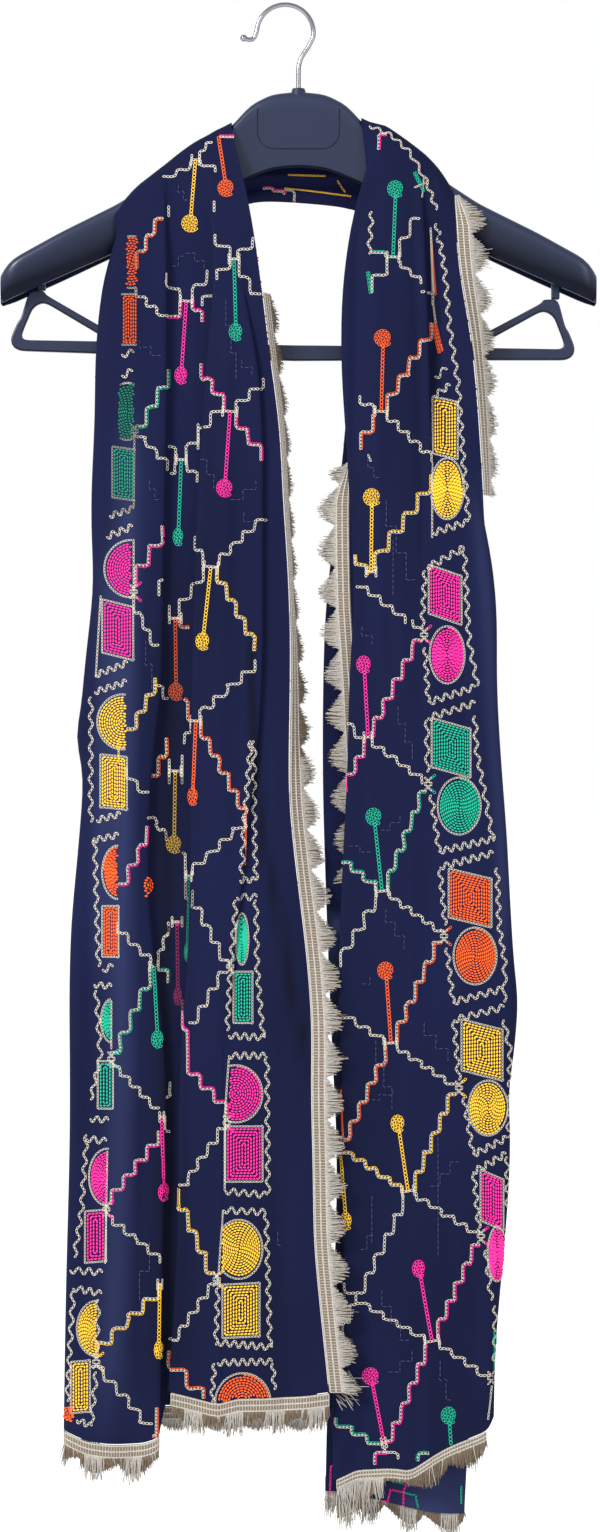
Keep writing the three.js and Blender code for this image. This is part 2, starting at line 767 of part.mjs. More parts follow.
const finish = {
  cloth: { color: NAVY, roughness: 0.85, metalness: 0, side: THREE.DoubleSide },
  lace: { color: LACE_SILVER, roughness: 0.6, metalness: 0.1 },
  plastic: { color: HANGER_BLUE, roughness: 0.4, metalness: 0 },
  chrome: { color: 0xd8d8da, roughness: 0.15, metalness: 1 },
};

const leftGrid = frontGrid(left, 0, LEFT_SEAM, 17);
const leftBack = leftBackGrid(leftGrid);
const rightGrid = frontGrid(right, 0, RIGHT_COUNT - 1, 17);
const rightRows = [0, 0.04, ...Array.from({ length: 14 }, (_, k) => 0.09 + (0.91 * k) / 13)];
const rightBackGrid = layerGrid(RIGHT_BACK, rightRows, 12, rightBackDepth, rightBackHem);
const midGrid = layerGrid(RIGHT_MID, rowsBelow(8).map((s) => s - 1 / 8).concat(1), 6, midDepth, () => -700);

const pieces = [
  ["hook", hook(), finish.chrome],
  ["hanger_body", hangerBody(), finish.plastic],
  ["trouser_bar", trouserBar(), finish.plastic],
  ["neck_band", wall(neckGrid()), finish.cloth],
  ["left_front", wall(leftGrid), finish.cloth],
  ["left_back", wall(leftBack), finish.cloth],
  ["right_front", wall(rightGrid), finish.cloth],
  ["right_mid", wall(midGrid), finish.cloth],
  ["right_back", wall(rightBackGrid), finish.cloth],
  [
    "lace_left_edge",
    lace(
      edgeOf(leftGrid, 0, -216, -1031),
      { along: sideways, back: towardBack, lean: leaning(EDGE_LEAN) },
    ),
    finish.lace,
  ],
  ["lace_left_hem_inner", lace(hemRoute(left, [0, 1, ...stationsFrom(4, 14)]), hemLace), finish.lace],
  ["lace_left_hem_outer", lace(hemRoute(left, stationsFrom(22, 28)), hemLace), finish.lace],
  ["lace_left_hem_back", lace(leftBack.at(-1).slice(0, -3), { ...hemLace, fringe: 8 }), finish.lace],
  [
    "lace_right_outer",
    lace(
      edgeOf(rightGrid, RIGHT_COUNT - 1, -150, -372),
      { along: sideways, back: towardBack, lean: leaning(OUTER_LEAN) },
    ),
    finish.lace,
  ],
  [
    "lace_right_mid",
    lace(
      edgeOf(midGrid, 0, -332, -655),
      { along: sideways.clone().negate(), back: towardBack },
    ),
    finish.lace,
  ],
  [
    "lace_right_hem_front",
    lace(hemRoute(right, stationsFrom(4, RIGHT_COUNT - 7)), { ...hemLace, fringe: 13 }),
    finish.lace,
  ],
  ["lace_right_hem_back", lace(rightBackGrid.at(-1), { ...hemLace, fringe: 4, gap: 0.8 }), finish.lace],
];

const group = new THREE.Group();
for (const [name, geometry, look] of pieces) {
  const mesh = new THREE.Mesh(geometry, new THREE.MeshStandardMaterial(look));
  mesh.name = name;
  if (name === "trouser_bar") mesh.rotation.y = THREE.MathUtils.degToRad(BAR.tilt);
  group.add(mesh);
}

export default group;
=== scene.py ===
"""A navy dupatta with chain-stitch embroidery and silver fringe lace over a moulded suit hanger.

The scarf hangs in two panels from the hanger's shoulders. Tables hold millimetres in the frame's
own axes, the embroidery is set out on a chart, and Blender's objects are in metres.
"""

import logging
import math
from dataclasses import dataclass
from enum import Enum

import bpy
import numpy as np
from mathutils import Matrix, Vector
from mathutils.bvhtree import BVHTree


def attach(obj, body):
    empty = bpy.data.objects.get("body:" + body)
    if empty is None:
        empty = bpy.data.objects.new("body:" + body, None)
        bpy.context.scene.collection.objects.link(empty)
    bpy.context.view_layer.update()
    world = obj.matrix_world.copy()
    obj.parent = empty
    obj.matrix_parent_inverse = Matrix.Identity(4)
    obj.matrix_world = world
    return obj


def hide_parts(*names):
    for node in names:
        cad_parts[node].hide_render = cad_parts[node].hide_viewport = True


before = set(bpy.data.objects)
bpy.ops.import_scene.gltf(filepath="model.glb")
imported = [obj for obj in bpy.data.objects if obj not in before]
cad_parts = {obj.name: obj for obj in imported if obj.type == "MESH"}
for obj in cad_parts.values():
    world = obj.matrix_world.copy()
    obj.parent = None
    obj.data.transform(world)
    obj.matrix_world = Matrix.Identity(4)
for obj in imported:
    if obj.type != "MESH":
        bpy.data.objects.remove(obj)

log = logging.getLogger("dupatta")

MM = 0.001
# The corner value of painted light and shade on cloth and stitches.
PAINTED_TONE = "painted_tone"

Piece = bpy.types.Object
Material = bpy.types.Material
Socket = bpy.types.NodeSocket
Array = np.ndarray

# ---- Numbers and tables ------------


def mix(start, stop, share):
    """The value a share of the way from start to stop."""
    return start + (stop - start) * share


def clamp(value, low=0.0, high=1.0):
    """The value, held between two limits."""
    return np.clip(value, low, high)


def ease(share):
    """A share that starts and stops gently."""
    held = clamp(share)
    return held**2 * (3 - 2 * held)


def running(spans) -> Array:
    """How far along each place is, from the spans between them."""
    return np.concatenate([[0], np.cumsum(spans)])


class Table:
    """Rows of measures with named columns; the first column is the place the row holds for."""

    def __init__(self, names: str, rows: list[tuple]):
        """Sorts the rows; the columns' names have spaces between them."""
        ordered = sorted(rows, key=lambda row: row[0])
        self.columns = dict(zip(names.split(), np.array(ordered, float).T))
        self.key = names.split()[0]

    def at(self, name: str, where):
        """A column's value at one place between the rows, or at an array of places."""
        return np.interp(where, self.columns[self.key], self.columns[name])


# The pattern's chart: millimetres a square, the column of the middle and the row of the hook's top.
CHART_SQUARE = 0.74
CHART_MIDDLE = 298.5
CHART_TOP = 2.8


def from_chart(column: float, row: float) -> tuple[float, float]:
    """A chart place as x and z, in millimetres."""
    return (column - CHART_MIDDLE) * CHART_SQUARE, -(row - CHART_TOP) * CHART_SQUARE


# ---- The hanger's profile, which the cloth lies on ------------

ARM = Table("x top bottom half_depth", [
    (0, -61, -116, 7), (20, -63, -118, 7), (36, -71, -124, 7), (51, -88, -131, 8), (68, -101, -141, 9),
    (86, -113, -152, 10), (100, -122.5, -161, 11), (134, -145.5, -181, 14), (178, -168, -201, 18),
    (212, -187, -216, 19), (219, -193, -219, 17), (222, -199, -220, 12),
])
LIFT = Table("x lift", [
    (-137, 2.8), (-112, 2.8), (-98, 3.5), (-80, 6), (-62, 5), (-50, 3), (47, 3), (66, 11), (82, 10),
    (95, 9), (106, 6), (116, 3),
])
# Where the cloth starts along each arm, and where it ends.
LEFT_CREST = (-50, -137)
RIGHT_CREST = (47, 116)


def crest_height(x):
    """Where the cloth goes over an arm."""
    return ARM.at("top", abs(x)) + LIFT.at("lift", x)


# ---- The cloth's sections ------------

LEFT = Table("z inner tuck tuck_depth fold_b fold_a outer front", [
    (-190, -29, -42, 0, -63, -97, -144, -30),
    (-220, -27, -38, 3, -63, -97, -147, -31),
    (-257, -22, -30, 16, -69, -97, -151, -32),
    (-309, -14, -26, 23, -71, -97, -151, -32),
    (-383, -11, -26, 22, -76, -99, -155, -32),
    (-442, -6, -26, 22, -78, -100, -153, -32),
    (-516, -6, -26, 21, -80, -101, -162, -32),
    (-575, -9, -33, 16, -80, -110, -159, -32.5),
    (-634, -3, -40, 13, -80, -111, -164, -33.5),
    (-694, 5, -46, 8, -81, -110, -170, -35),
    (-753, 10, -50, 3, -86, -98, -170, -36),
    (-812, 9, -50, 0, -89, -97, -169, -36),
    (-871, 11, -50, 0, -89, -99, -170, -36),
    (-930, 11, -50, 0, -90, -100, -172, -36),
    (-990, 19, -50, 0, -94, -101, -173, -36),
    (-1034, 23, -50, 0, -97, -102, -174, -36),
])
RIGHT = Table("z inner groove_in groove_out groove outer wrap front", [
    (-190, 32, 94, 104, 1, 117, 0, -30),
    (-220, 31, 96, 105, 1, 121, 0, -31),
    (-257, 30, 97, 105, 1, 130, 0, -32),
    (-294, 32, 98, 105, 0.8, 132, 0, -32),
    (-338, 36, 100, 106, 0.2, 136, 0, -32),
    (-383, 38, 101, 107, 0, 139, 6, -32),
    (-442, 41, 102, 108, 0, 146, 16, -32),
    (-516, 36, 102, 108, 0, 147, 20, -32),
    (-575, 36, 103, 109, 0, 151, 20, -31.5),
    (-634, 32, 103, 109, 0, 156, 20, -30.5),
    (-694, 30, 104, 110, 0, 158, 22, -29),
    (-753, 28, 104, 110, 0, 163, 24, -28),
    (-812, 31, 104, 110, 0, 158, 30, -28),
    (-871, 30, 102, 108, 0, 157, 40, -28),
    (-930, 33, 98, 104, 0, 152, 52, -28),
    (-990, 29, 92, 98, 0, 146, 62, -28),
    (-1034, 25, 90, 96, 0, 145, 68, -28),
    (-1070, 25, 90, 96, 0, 145, 68, -28),
])
LAYER_STEP = 2.6
FOLD_NOSE = 2.0
VALLEY = 8.0
SEAM = 0.3
LEFT_BACK_DEPTH = -17.0
BACK_SLACK = 1.6
RIGHT_WAVE_SHIFT = 40.0
FIRST_Z = -190.0
RIM_ROUND = 10.0
RIM_CLEAR = 5.0
FRONT_WAVES = ((0.9, 9.0, 0.02), (0.6, 15.0, -0.03))
BACK_WAVES = ((1.5, 7.5, 0.012), (0.8, 13.0, -0.02))

Path = list[tuple[float, float]]


def evenly(start: float, stop: float, count: int, depth: float) -> Path:
    """Points at even steps across, all at one depth."""
    return [(mix(start, stop, i / (count - 1)), depth) for i in range(count)]


def between(start: float, stop: float, count: int, depth: float) -> Path:
    """Points at even steps between two places, without the places themselves."""
    return evenly(start, stop, count + 2, depth)[1:-1]


def folding(flat: Path, folded: Path, share: float) -> Path:
    """A path part of the way from flat to folded."""
    return [(mix(a, x, share), mix(b, y, share)) for (a, b), (x, y) in zip(flat, folded)]


def tuck_leg(edge: float, depth: float, front: float) -> Path:
    """Three layers laid over each other, from the under layer out to the front one."""
    under, middle = front + 2 * LAYER_STEP, front + LAYER_STEP
    far = edge - depth
    folded = [
        (far + FOLD_NOSE, under),
        (far, (under + middle) / 2),
        (far + FOLD_NOSE, middle),
        (edge - FOLD_NOSE, middle),
        (edge, (middle + front) / 2),
        (edge - FOLD_NOSE, front),
    ]
    return folding(evenly(edge + 6, edge - 6, 6, front), folded, float(clamp(depth / 8)))


def groove_leg(near: float, far: float, front: float, share: float, side: int) -> Path:
    """A groove between two pleats whose folds overhang it."""
    floor = front + VALLEY
    folded = [
        (near - 2 * side, front),
        (near, front + 2),
        (near - 3 * side, front + 4.5),
        (near - 1.5 * side, floor),
        ((near + far) / 2, floor + 1),
        (far + 1.5 * side, floor),
        (far + 3 * side, front + 4.5),
        (far, front + 2),
        (far + 2 * side, front),
    ]
    return folding(evenly(near - 4 * side, far + 4 * side, 9, front), folded, share)


def flute(x, z, waves):
    """Shallow upright waves of the hanging cloth, deeper towards the hem."""
    fall = clamp((FIRST_Z - z) / 850)
    return sum(deep * mix(0.35, 1, fall) * np.sin((x + lean * z) / wide) for deep, wide, lean in waves)


def following(path: Path, z: float, waves: tuple, shift: float = 0.0, slack: float = 0.0) -> Path:
    """A path that follows the hanging cloth's waves at a height."""
    return [(x, y + slack + float(flute(x + shift, z, waves))) for x, y in path]


def mirrored(path: Path) -> Path:
    """A path on the other side of the middle."""
    return [(-x, z) for x, z in path]


def left_section(z: float) -> Path:
    """The left panel from its inner edge outwards and round to its back."""
    row = {name: float(LEFT.at(name, z)) for name in LEFT.columns}
    front, inner, tuck, outer = row["front"], row["inner"], row["tuck"], row["outer"]
    under = front + 2 * LAYER_STEP * float(clamp(row["tuck_depth"] / 8))
    tucked = tuck_leg(tuck, row["tuck_depth"], front)
    back = LEFT_BACK_DEPTH
    return [
        (inner, under),
        ((inner + tucked[0][0]) / 2, under),
        *tucked,
        *following(between(tuck - FOLD_NOSE, row["fold_b"] + 2, 6, front), z, FRONT_WAVES),
        *groove_leg(row["fold_b"], row["fold_a"], front, 1, -1),
        *following(between(row["fold_a"] - 2, outer + 5, 4, front), z, FRONT_WAVES),
        (outer + 5, front + 0.3),
        (outer + 1.2, front + 3.5),
        (outer, (front + back) / 2),
        (outer + 1.2, back - 3.5),
        (outer + 5, back),
        (outer + 12, back),
        (outer + 12 + 2 * SEAM, back),
        *following(between(outer + 12, inner - 10, 9, back), z, BACK_WAVES, slack=BACK_SLACK),
        (inner - 10, back - 0.5),
        (inner - 8, back - 3),
        (inner - 12, back - 6),
        (inner - 24, back - 6),
    ]


LEFT_SEAM = 32


def right_section(z: float) -> Path:
    """The right panel from behind its inner fold outwards and round its outer edge."""
    row = {name: float(RIGHT.at(name, z)) for name in RIGHT.columns}
    inner, outer, wrap, front = row["inner"], row["outer"], row["wrap"], row["front"]
    turned = front + 3.4
    flat = between(inner + 3, row["groove_in"] - 2, 7, front)
    rolled = [
        (outer - 5, front),
        (outer - 1.2, front + 2),
        (outer, front + 5),
        (outer - 1.2, front + 8),
        (outer - 5, front + 10),
        (outer - mix(5, wrap, 0.5), front + 10),
        (outer - max(wrap, 10), front + 10),
    ]
    rolling = float(clamp(wrap / 14))
    return [
        (inner + 26, turned),
        (inner + 14, turned),
        (inner + 3, turned),
        (inner, front + 1.7),
        (inner + 3, front),
        *following(flat, z, FRONT_WAVES, shift=RIGHT_WAVE_SHIFT),
        *groove_leg(row["groove_in"], row["groove_out"], front, row["groove"], 1),
        *between(row["groove_out"] + 2, mix(outer - 16, outer - 5, rolling), 2, front),
        *folding(evenly(outer - 16, outer, 7, front), rolled, rolling),
    ]


RIGHT_COUNT = len(right_section(FIRST_Z))
LEFT_HEM = Table("x z", [
    (23, -1027), (5, -1034), (-28, -1027), (-60, -1035), (-97, -1026), (-103, -1061), (-120, -1066),
    (-154, -1064), (-174, -1055),
])
RIGHT_HEM = Table("x z", [
    (145, -1046), (140, -1057), (107, -1070), (83, -1086), (70, -1084), (43, -1086), (25, -1094),
])
LEFT_BACK_HEM = -1040.0
RIM_DROPS = (0.0, 1.0, 3.5, 10.0)


@dataclass(frozen=True)
class Panel:
    """One hanging panel, from its crest over the arm to its hem."""

    section: object
    front_count: int
    crest_inner: float
    crest_outer: float
    hem_left: bool

    def crest(self, station: int) -> tuple[float, float]:
        """Where a station goes over the arm, as x and z."""
        top = np.array(self.section(FIRST_Z)[: self.front_count])
        run = running(np.hypot(*np.diff(top, axis=0).T))
        x = mix(self.crest_inner, self.crest_outer, run[min(station, self.front_count - 1)] / run[-1])
        return float(x), float(crest_height(x))

    def hem(self, station: int) -> float:
        """The height of the hem at a station."""
        x = self.section(-1034)[station][0]
        if self.hem_left:
            if station > LEFT_SEAM:
                return LEFT_BACK_HEM
            return -1052.0 if station > LEFT_SEAM - 3 else float(LEFT_HEM.at("z", x))
        if station < 3:
            return -1080.0
        return -1046.0 if station > RIGHT_COUNT - 4 else float(RIGHT_HEM.at("z", x))

    def point(self, station: int, z: float) -> tuple[float, float, float]:
        """A station of the panel at a height; above the first section it runs up over the arm."""
        x, y = self.section(min(z, FIRST_Z))[station]
        if z <= FIRST_Z:
            return x, y, z
        turn = min(station, self.front_count - 1)
        top_x, top_z = self.crest(turn)
        drop = top_z - z
        down = float(ease(drop / (top_z - FIRST_Z)))
        if station < self.front_count:
            rounding = math.sqrt(1 - (1 - float(clamp(drop / RIM_ROUND))) ** 2)
            over = -(float(ARM.at("half_depth", abs(top_x))) + RIM_CLEAR) * rounding - SEAM / 2
            return mix(top_x, x, down), mix(over, y, down), z
        edge_x = self.section(FIRST_Z)[turn][0]
        shift = mix(top_x, edge_x, down) - edge_x
        return x + shift * float(clamp(1 - (station - turn) / 6)), y, z

    def grid(self, stations: range, rows: int) -> Array:
        """Rows of points from the crest to the hem, for some stations."""
        made = [[self.point(i, self.crest(i)[1] - drop) for i in stations] for drop in RIM_DROPS]
        for row in range(1, rows + 1):
            heights = [mix(self.crest(i)[1] - RIM_ROUND, self.hem(i), row / rows) for i in stations]
            made.append([self.point(i, z) for i, z in zip(stations, heights)])
        return np.array(made)


LEFT_PANEL = Panel(left_section, LEFT_SEAM + 1, *LEFT_CREST, True)
RIGHT_PANEL = Panel(right_section, RIGHT_COUNT, *RIGHT_CREST, False)
PANEL_ROWS = 17

NECK = [
    (-46, 14, -98, -120, 25, -174), (-40, 15, -100, -92, 27, -170), (-33, 16, -101, -58, 26, -149),
    (-24, 17, -101, -35, 24, -138), (0, 18, -101, 0, 22, -140), (24, 17, -100, 36, 24, -143),
    (31, 16, -99, 56, 26, -150), (38, 15, -98, 80, 27, -160), (44, 14, -95, 102, 25, -165),
]
NECK_STATIONS = 13
NECK_FOLDS = 3
RIGHT_BACK = Table("z inner outer", [
    (-172, 60, 106), (-230, 40, 114), (-330, 34, 126), (-400, 25, 130), (-430, 20, 134), (-516, 18, 136),
    (-590, 18, 140), (-650, 20, 144), (-760, 24, 148), (-870, 30, 144), (-990, 24, 136), (-1060, 20, 126),
    (-1130, 20, 123),
])
RIGHT_MID = Table("z inner outer", [
    (-300, 44, 84), (-335, 38, 84), (-440, 38, 84), (-480, 42, 84), (-560, 46, 84), (-600, 49, 84),
    (-700, 52, 80),
])


def left_back_grid(front: Array) -> Array:
    """The back of the left panel, in step with the front's rows where the two meet."""
    seam = front[len(RIM_DROPS) - 1 :, -1, 2]
    stations = range(LEFT_SEAM + 1, len(left_section(FIRST_Z)))
    rows = []
    for height in seam:
        share = (seam[0] - height) / (seam[0] - seam[-1])
        row = []
        for station in stations:
            x = left_section(FIRST_Z)[station][0]
            inside = float(clamp((station - LEFT_SEAM - 1) / 3))
            top = mix(seam[0], min(float(ARM.at("bottom", abs(x))) + 8, -150), inside)
            row.append(LEFT_PANEL.point(station, mix(top, mix(seam[-1], LEFT_BACK_HEM, inside), share)))
        rows.append(row)
    return np.array(rows)


def neck_grid() -> Array:
    """The scarf behind the neck, from one arm's crest to the other's."""
    shares = np.linspace(0, 1, NECK_STATIONS)

    def rim(inner: float, outer: float, drop: float) -> list:
        xs = mix(inner, outer, shares)
        rounding = math.sqrt(1 - (1 - min(drop / RIM_ROUND, 1)) ** 2)
        ys = (ARM.at("half_depth", abs(xs)) + RIM_CLEAR) * rounding + SEAM / 2
        return list(zip(xs, ys, crest_height(xs) - drop))

    behind = []
    for k, (top_x, top_y, top_z, low_x, low_y, low_z) in enumerate(NECK):
        swell = math.sin(math.pi * (k + 0.5) / len(NECK))
        fold = 2 * swell * np.sin(2 * np.pi * NECK_FOLDS * shares + 0.35 * k)
        ys = mix(top_y, low_y, shares) + fold
        behind.append(list(zip(mix(top_x, low_x, shares), ys, mix(top_z, low_z, shares))))
    left_rim = [rim(*LEFT_CREST, drop) for drop in RIM_DROPS]
    right_rim = [rim(*RIGHT_CREST, drop) for drop in reversed(RIM_DROPS)]
    return np.array([*left_rim, *behind, *right_rim])


def layer_grid(rows: Table, heights: Array, columns: int, depth, hem) -> Array:
    """A plain hanging layer between two upright edges."""
    top = rows.columns["z"][-1]
    made = []
    for share in heights:
        row = []
        for across in np.linspace(0, 1, columns):
            z = mix(top, hem(across), share)
            x = mix(rows.at("inner", z), rows.at("outer", z), across)
            row.append((x, depth(x, z, across), z))
        made.append(row)
    return np.array(made, float)


def right_back_depth(x: float, z: float, across: float) -> float:
    """How far back the right panel's back layer hangs."""
    top = ease((z + 260) / 90)
    waves = 1.2 + flute(x, z, BACK_WAVES)
    return mix(-14, -18, top) + (1 - top) * waves - 3 * (1 - across) ** 8


def right_back_hem(across: float) -> float:
    """The height of the right panel's back hem."""
    return mix(-1104, -1121, ease(across * 1.15))


def mid_depth(x: float, z: float, across: float) -> float:
    """How far back the folded-in layer of the right panel hangs."""
    return -23.6 + 0.3 * math.sin(x / 6 + z / 60)


def refine(points: Array, times: int, softness: int, axis: int) -> Array:
    """More points down the rows (axis 0) or across the stations (axis 1) of a grid.

    Each old point becomes times new ones, and softness rounds of averaging round the corners.
    """
    moved = np.moveaxis(points, axis, 0)
    place = np.linspace(0, len(moved) - 1, (len(moved) - 1) * times + 1)
    low = np.minimum(place.astype(int), len(moved) - 2)
    part = (place - low)[:, None, None]
    fine = moved[low] * (1 - part) + moved[low + 1] * part
    for _ in range(softness):
        fine[1:-1] = (fine[:-2] + 2 * fine[1:-1] + fine[2:]) / 4
    return np.moveaxis(fine, 0, axis)


# ---- Making meshes ------------


def deselect_all() -> None:
    """Leaves nothing selected, so that an operator works on its own piece alone."""
    bpy.ops.object.select_all(action="DESELECT")


def pick(piece: Piece) -> Piece:
    """Makes a piece the only selected and active one."""
    deselect_all()
    piece.select_set(True)
    bpy.context.view_layer.objects.active = piece
    return piece


def made_by(operator, **settings) -> Piece:
    """Runs an operator that adds a piece, and returns the piece."""
    deselect_all()
    operator(**settings)
    return bpy.context.object


def linked(name: str, data) -> Piece:
    """A new object in the scene that holds some data."""
    made = bpy.data.objects.new(name, data)
    bpy.context.collection.objects.link(made)
    return made


def meshed(name: str, curve: bpy.types.Curve) -> Piece:
    """A curve as a picked piece that is a mesh."""
    pick(linked(name, curve))
    bpy.ops.object.convert(target="MESH")
    return bpy.context.object


def close_edit() -> None:
    """Turns every face of the mesh that is being edited outwards, and ends the editing."""
    bpy.ops.mesh.select_all(action="SELECT")
    bpy.ops.mesh.normals_make_consistent(inside=False)
    bpy.ops.object.mode_set(mode="OBJECT")


def settle() -> None:
    """Works the picked piece's place, turn and scale into its mesh."""
    bpy.ops.object.transform_apply(location=True, rotation=True, scale=True)


def paint_tone(piece: Piece, values: Array) -> None:
    """Writes how much painted light or painted shade each corner of a piece gets."""
    painted_tone = piece.data.attributes.new(PAINTED_TONE, "FLOAT", "POINT")
    painted_tone.data.foreach_set("value", values.reshape(-1).astype(np.float32))


def apply_modifiers(piece: Piece) -> Piece:
    """Applies a piece's modifiers in their order."""
    pick(piece)
    for name in [modifier.name for modifier in piece.modifiers]:
        bpy.ops.object.modifier_apply(modifier=name)
    return piece


def shaped_grid(name: str, points: Array) -> Piece:
    """A grid primitive whose corners are laid on points, in millimetres."""
    rows, columns = points.shape[:2]
    divisions = {"x_subdivisions": columns - 1, "y_subdivisions": rows - 1}
    piece = made_by(bpy.ops.mesh.primitive_grid_add, size=1, **divisions)
    piece.name = name
    flat = np.ascontiguousarray(points.reshape(-1) * MM, dtype=np.float32)
    piece.data.vertices.foreach_set("co", flat)
    piece.data.update()
    return piece


def thicken(piece: Piece, thickness: float) -> Piece:
    """Gives a sheet an even thickness about its middle, in millimetres."""
    wall = piece.modifiers.new("wall", "SOLIDIFY")
    wall.thickness = thickness * MM
    wall.offset = 0
    wall.use_even_offset = False
    apply_modifiers(piece)
    bpy.ops.object.shade_smooth_by_angle(angle=math.radians(50))
    return piece


@dataclass(frozen=True)
class Model:
    """One small thing, modelled once, as arrays to copy from."""

    corners: Array
    loops: Array
    sides: Array

    @staticmethod
    def of(piece: Piece) -> "Model":
        """Reads a modelled object into arrays and removes it."""
        mesh = piece.data
        corners = np.empty(len(mesh.vertices) * 3)
        mesh.vertices.foreach_get("co", corners)
        loops = np.empty(len(mesh.loops), int)
        mesh.loops.foreach_get("vertex_index", loops)
        sides = np.empty(len(mesh.polygons), int)
        mesh.polygons.foreach_get("loop_total", sides)
        bpy.data.objects.remove(piece)
        return Model(corners.reshape(-1, 3), loops, sides)


def copies(name: str, model: Model, places: Array, frames: Array) -> Piece:
    """One joined mesh of copies of a model.

    Args:
        name: The mesh's name.
        model: What is copied.
        places: Where each copy goes, in millimetres.
        frames: Each copy's three axes, as rows, with its scale in them.

    Returns:
        The joined object.
    """
    count, size = len(places), len(model.corners)
    corners = np.einsum("vi,kij->kvj", model.corners, frames) + places[:, None, :]
    loops = (model.loops[None, :] + size * np.arange(count)[:, None]).reshape(-1)
    sides = np.tile(model.sides, count)
    mesh = bpy.data.meshes.new(name)
    mesh.vertices.add(count * size)
    mesh.loops.add(len(loops))
    mesh.polygons.add(len(sides))
    mesh.vertices.foreach_set("co", np.ascontiguousarray(corners.reshape(-1) * MM, dtype=np.float32))
    mesh.loops.foreach_set("vertex_index", loops.astype(np.int32))
    starts = running(sides)[:-1]
    mesh.polygons.foreach_set("loop_start", starts.astype(np.int32))
    mesh.polygons.foreach_set("use_smooth", np.ones(len(sides), bool))
    mesh.update(calc_edges=True)
    mesh.validate()
    return linked(name, mesh)


def join(name: str, pieces: list[Piece]) -> Piece:
    """Joins pieces into the first of them."""
    deselect_all()
    for piece in pieces:
        piece.select_set(True)
    bpy.context.view_layer.objects.active = pieces[0]
    if len(pieces) > 1:
        bpy.ops.object.join()
    pieces[0].name = name
    return pieces[0]


def dress(piece: Piece, material: Material, slot: str, *nodes: str) -> None:
    """Gives a finished piece its material, sets it under the root, and hides the frame's nodes that it
    replaces.
    """
    piece.data.materials.clear()
    piece.data.materials.append(material)
    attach(piece, "root")
    if nodes:
        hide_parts(*nodes)
    log.info("%s: %d faces", piece.name, len(piece.data.polygons))


# ---- Finishes ------------


def linear(red: int, green: int, blue: int) -> tuple[float, float, float, float]:
    """A colour of 0 to 255 a channel, as the shader's own linear values."""
    return (*(((c / 255 + 0.055) / 1.055) ** 2.4 if c > 10 else c / 3295 for c in (red, green, blue)), 1.0)


class Nodes:
    """Short ways to add nodes to a tree."""

    def __init__(self, tree: bpy.types.NodeTree):
        """Takes the tree that the nodes go into."""
        self.tree = tree

    def feed(self, node: bpy.types.Node, sockets: dict) -> None:
        """Gives a node's sockets their values, or joins other nodes' outputs to them."""
        for socket, value in sockets.items():
            if isinstance(value, Socket):
                self.tree.links.new(value, node.inputs[socket])
            else:
                node.inputs[socket].default_value = value

    def add(self, kind: str, sockets: dict | None = None, **settings) -> bpy.types.Node:
        """Adds a node with its settings and feeds its sockets."""
        node = self.tree.nodes.new(kind)
        for setting, value in settings.items():
            setattr(node, setting, value)
        self.feed(node, sockets or {})
        return node

    def noise(self, where, **sockets: float) -> Socket:
        """An even noise over places."""
        named = {socket.title(): value for socket, value in sockets.items()}
        return self.add("ShaderNodeTexNoise", {"Vector": where, **named}).outputs["Fac"]

    def blend(self, share, start, stop) -> Socket:
        """A colour a share of the way from one to another."""
        sockets = {"Factor": share, "A": start, "B": stop}
        return self.add("ShaderNodeMix", sockets, data_type="RGBA").outputs["Result"]

    def times(self, first, second) -> Socket:
        """One value times another."""
        return self.add("ShaderNodeMath", {0: first, 1: second}, operation="MULTIPLY").outputs["Value"]


class Shader(Nodes):
    """A new material with a Principled surface."""

    def __init__(self, name: str, sockets: dict):
        """Starts the material with values for its surface's sockets."""
        self.material = bpy.data.materials.new(name)
        self.material.use_nodes = True
        super().__init__(self.material.node_tree)
        self.surface = self.tree.nodes["Principled BSDF"]
        self.feed(self.surface, sockets)

    def places(self) -> Socket:
        """Places on the piece."""
        return self.add("ShaderNodeTexCoord").outputs["Object"]

    def painted_tone(self) -> Socket:
        """How much painted light or painted shade the piece is given."""
        return self.add("ShaderNodeAttribute", attribute_name=PAINTED_TONE).outputs["Fac"]

    def facing(self, axis: str, limits: dict) -> Socket:
        """How far the surface faces along an axis, between limits."""
        face = self.add("ShaderNodeNewGeometry")
        split = self.add("ShaderNodeSeparateXYZ", {"Vector": face.outputs["Normal"]})
        return self.add("ShaderNodeMapRange", {"Value": split.outputs[axis], **limits}).outputs["Result"]

    def finished(self, colour, height=None, strength=0.0, distance=0.0) -> Material:
        """The material with its colour, and with a bump where it has a height."""
        self.feed(self.surface, {"Base Color": colour})
        if height is not None:
            sockets = {"Height": height, "Strength": strength, "Distance": distance}
            bump = self.add("ShaderNodeBump", sockets)
            self.feed(self.surface, {"Normal": bump.outputs["Normal"]})
        return self.material


def crepe_group() -> bpy.types.NodeTree:
    """The shared crepe grain of a twisted-thread cloth: a fine height and a slow shade."""
    tree = bpy.data.node_groups.new("crepe_grain", "ShaderNodeTree")
    tree.interface.new_socket("Vector", in_out="INPUT", socket_type="NodeSocketVector")
    for output in ("Height", "Shade"):
        tree.interface.new_socket(output, in_out="OUTPUT", socket_type="NodeSocketFloat")
    group = Nodes(tree)
    where = group.add("NodeGroupInput").outputs["Vector"]
    stretch = group.add("ShaderNodeMapping", {"Vector": where, "Scale": (1.6, 1.6, 0.35)})
    grain = group.noise(where, scale=900, detail=2)
    slow = group.noise(stretch.outputs["Vector"], scale=14, detail=3)
    group.add("NodeGroupOutput", {"Height": grain, "Shade": slow})
    return tree


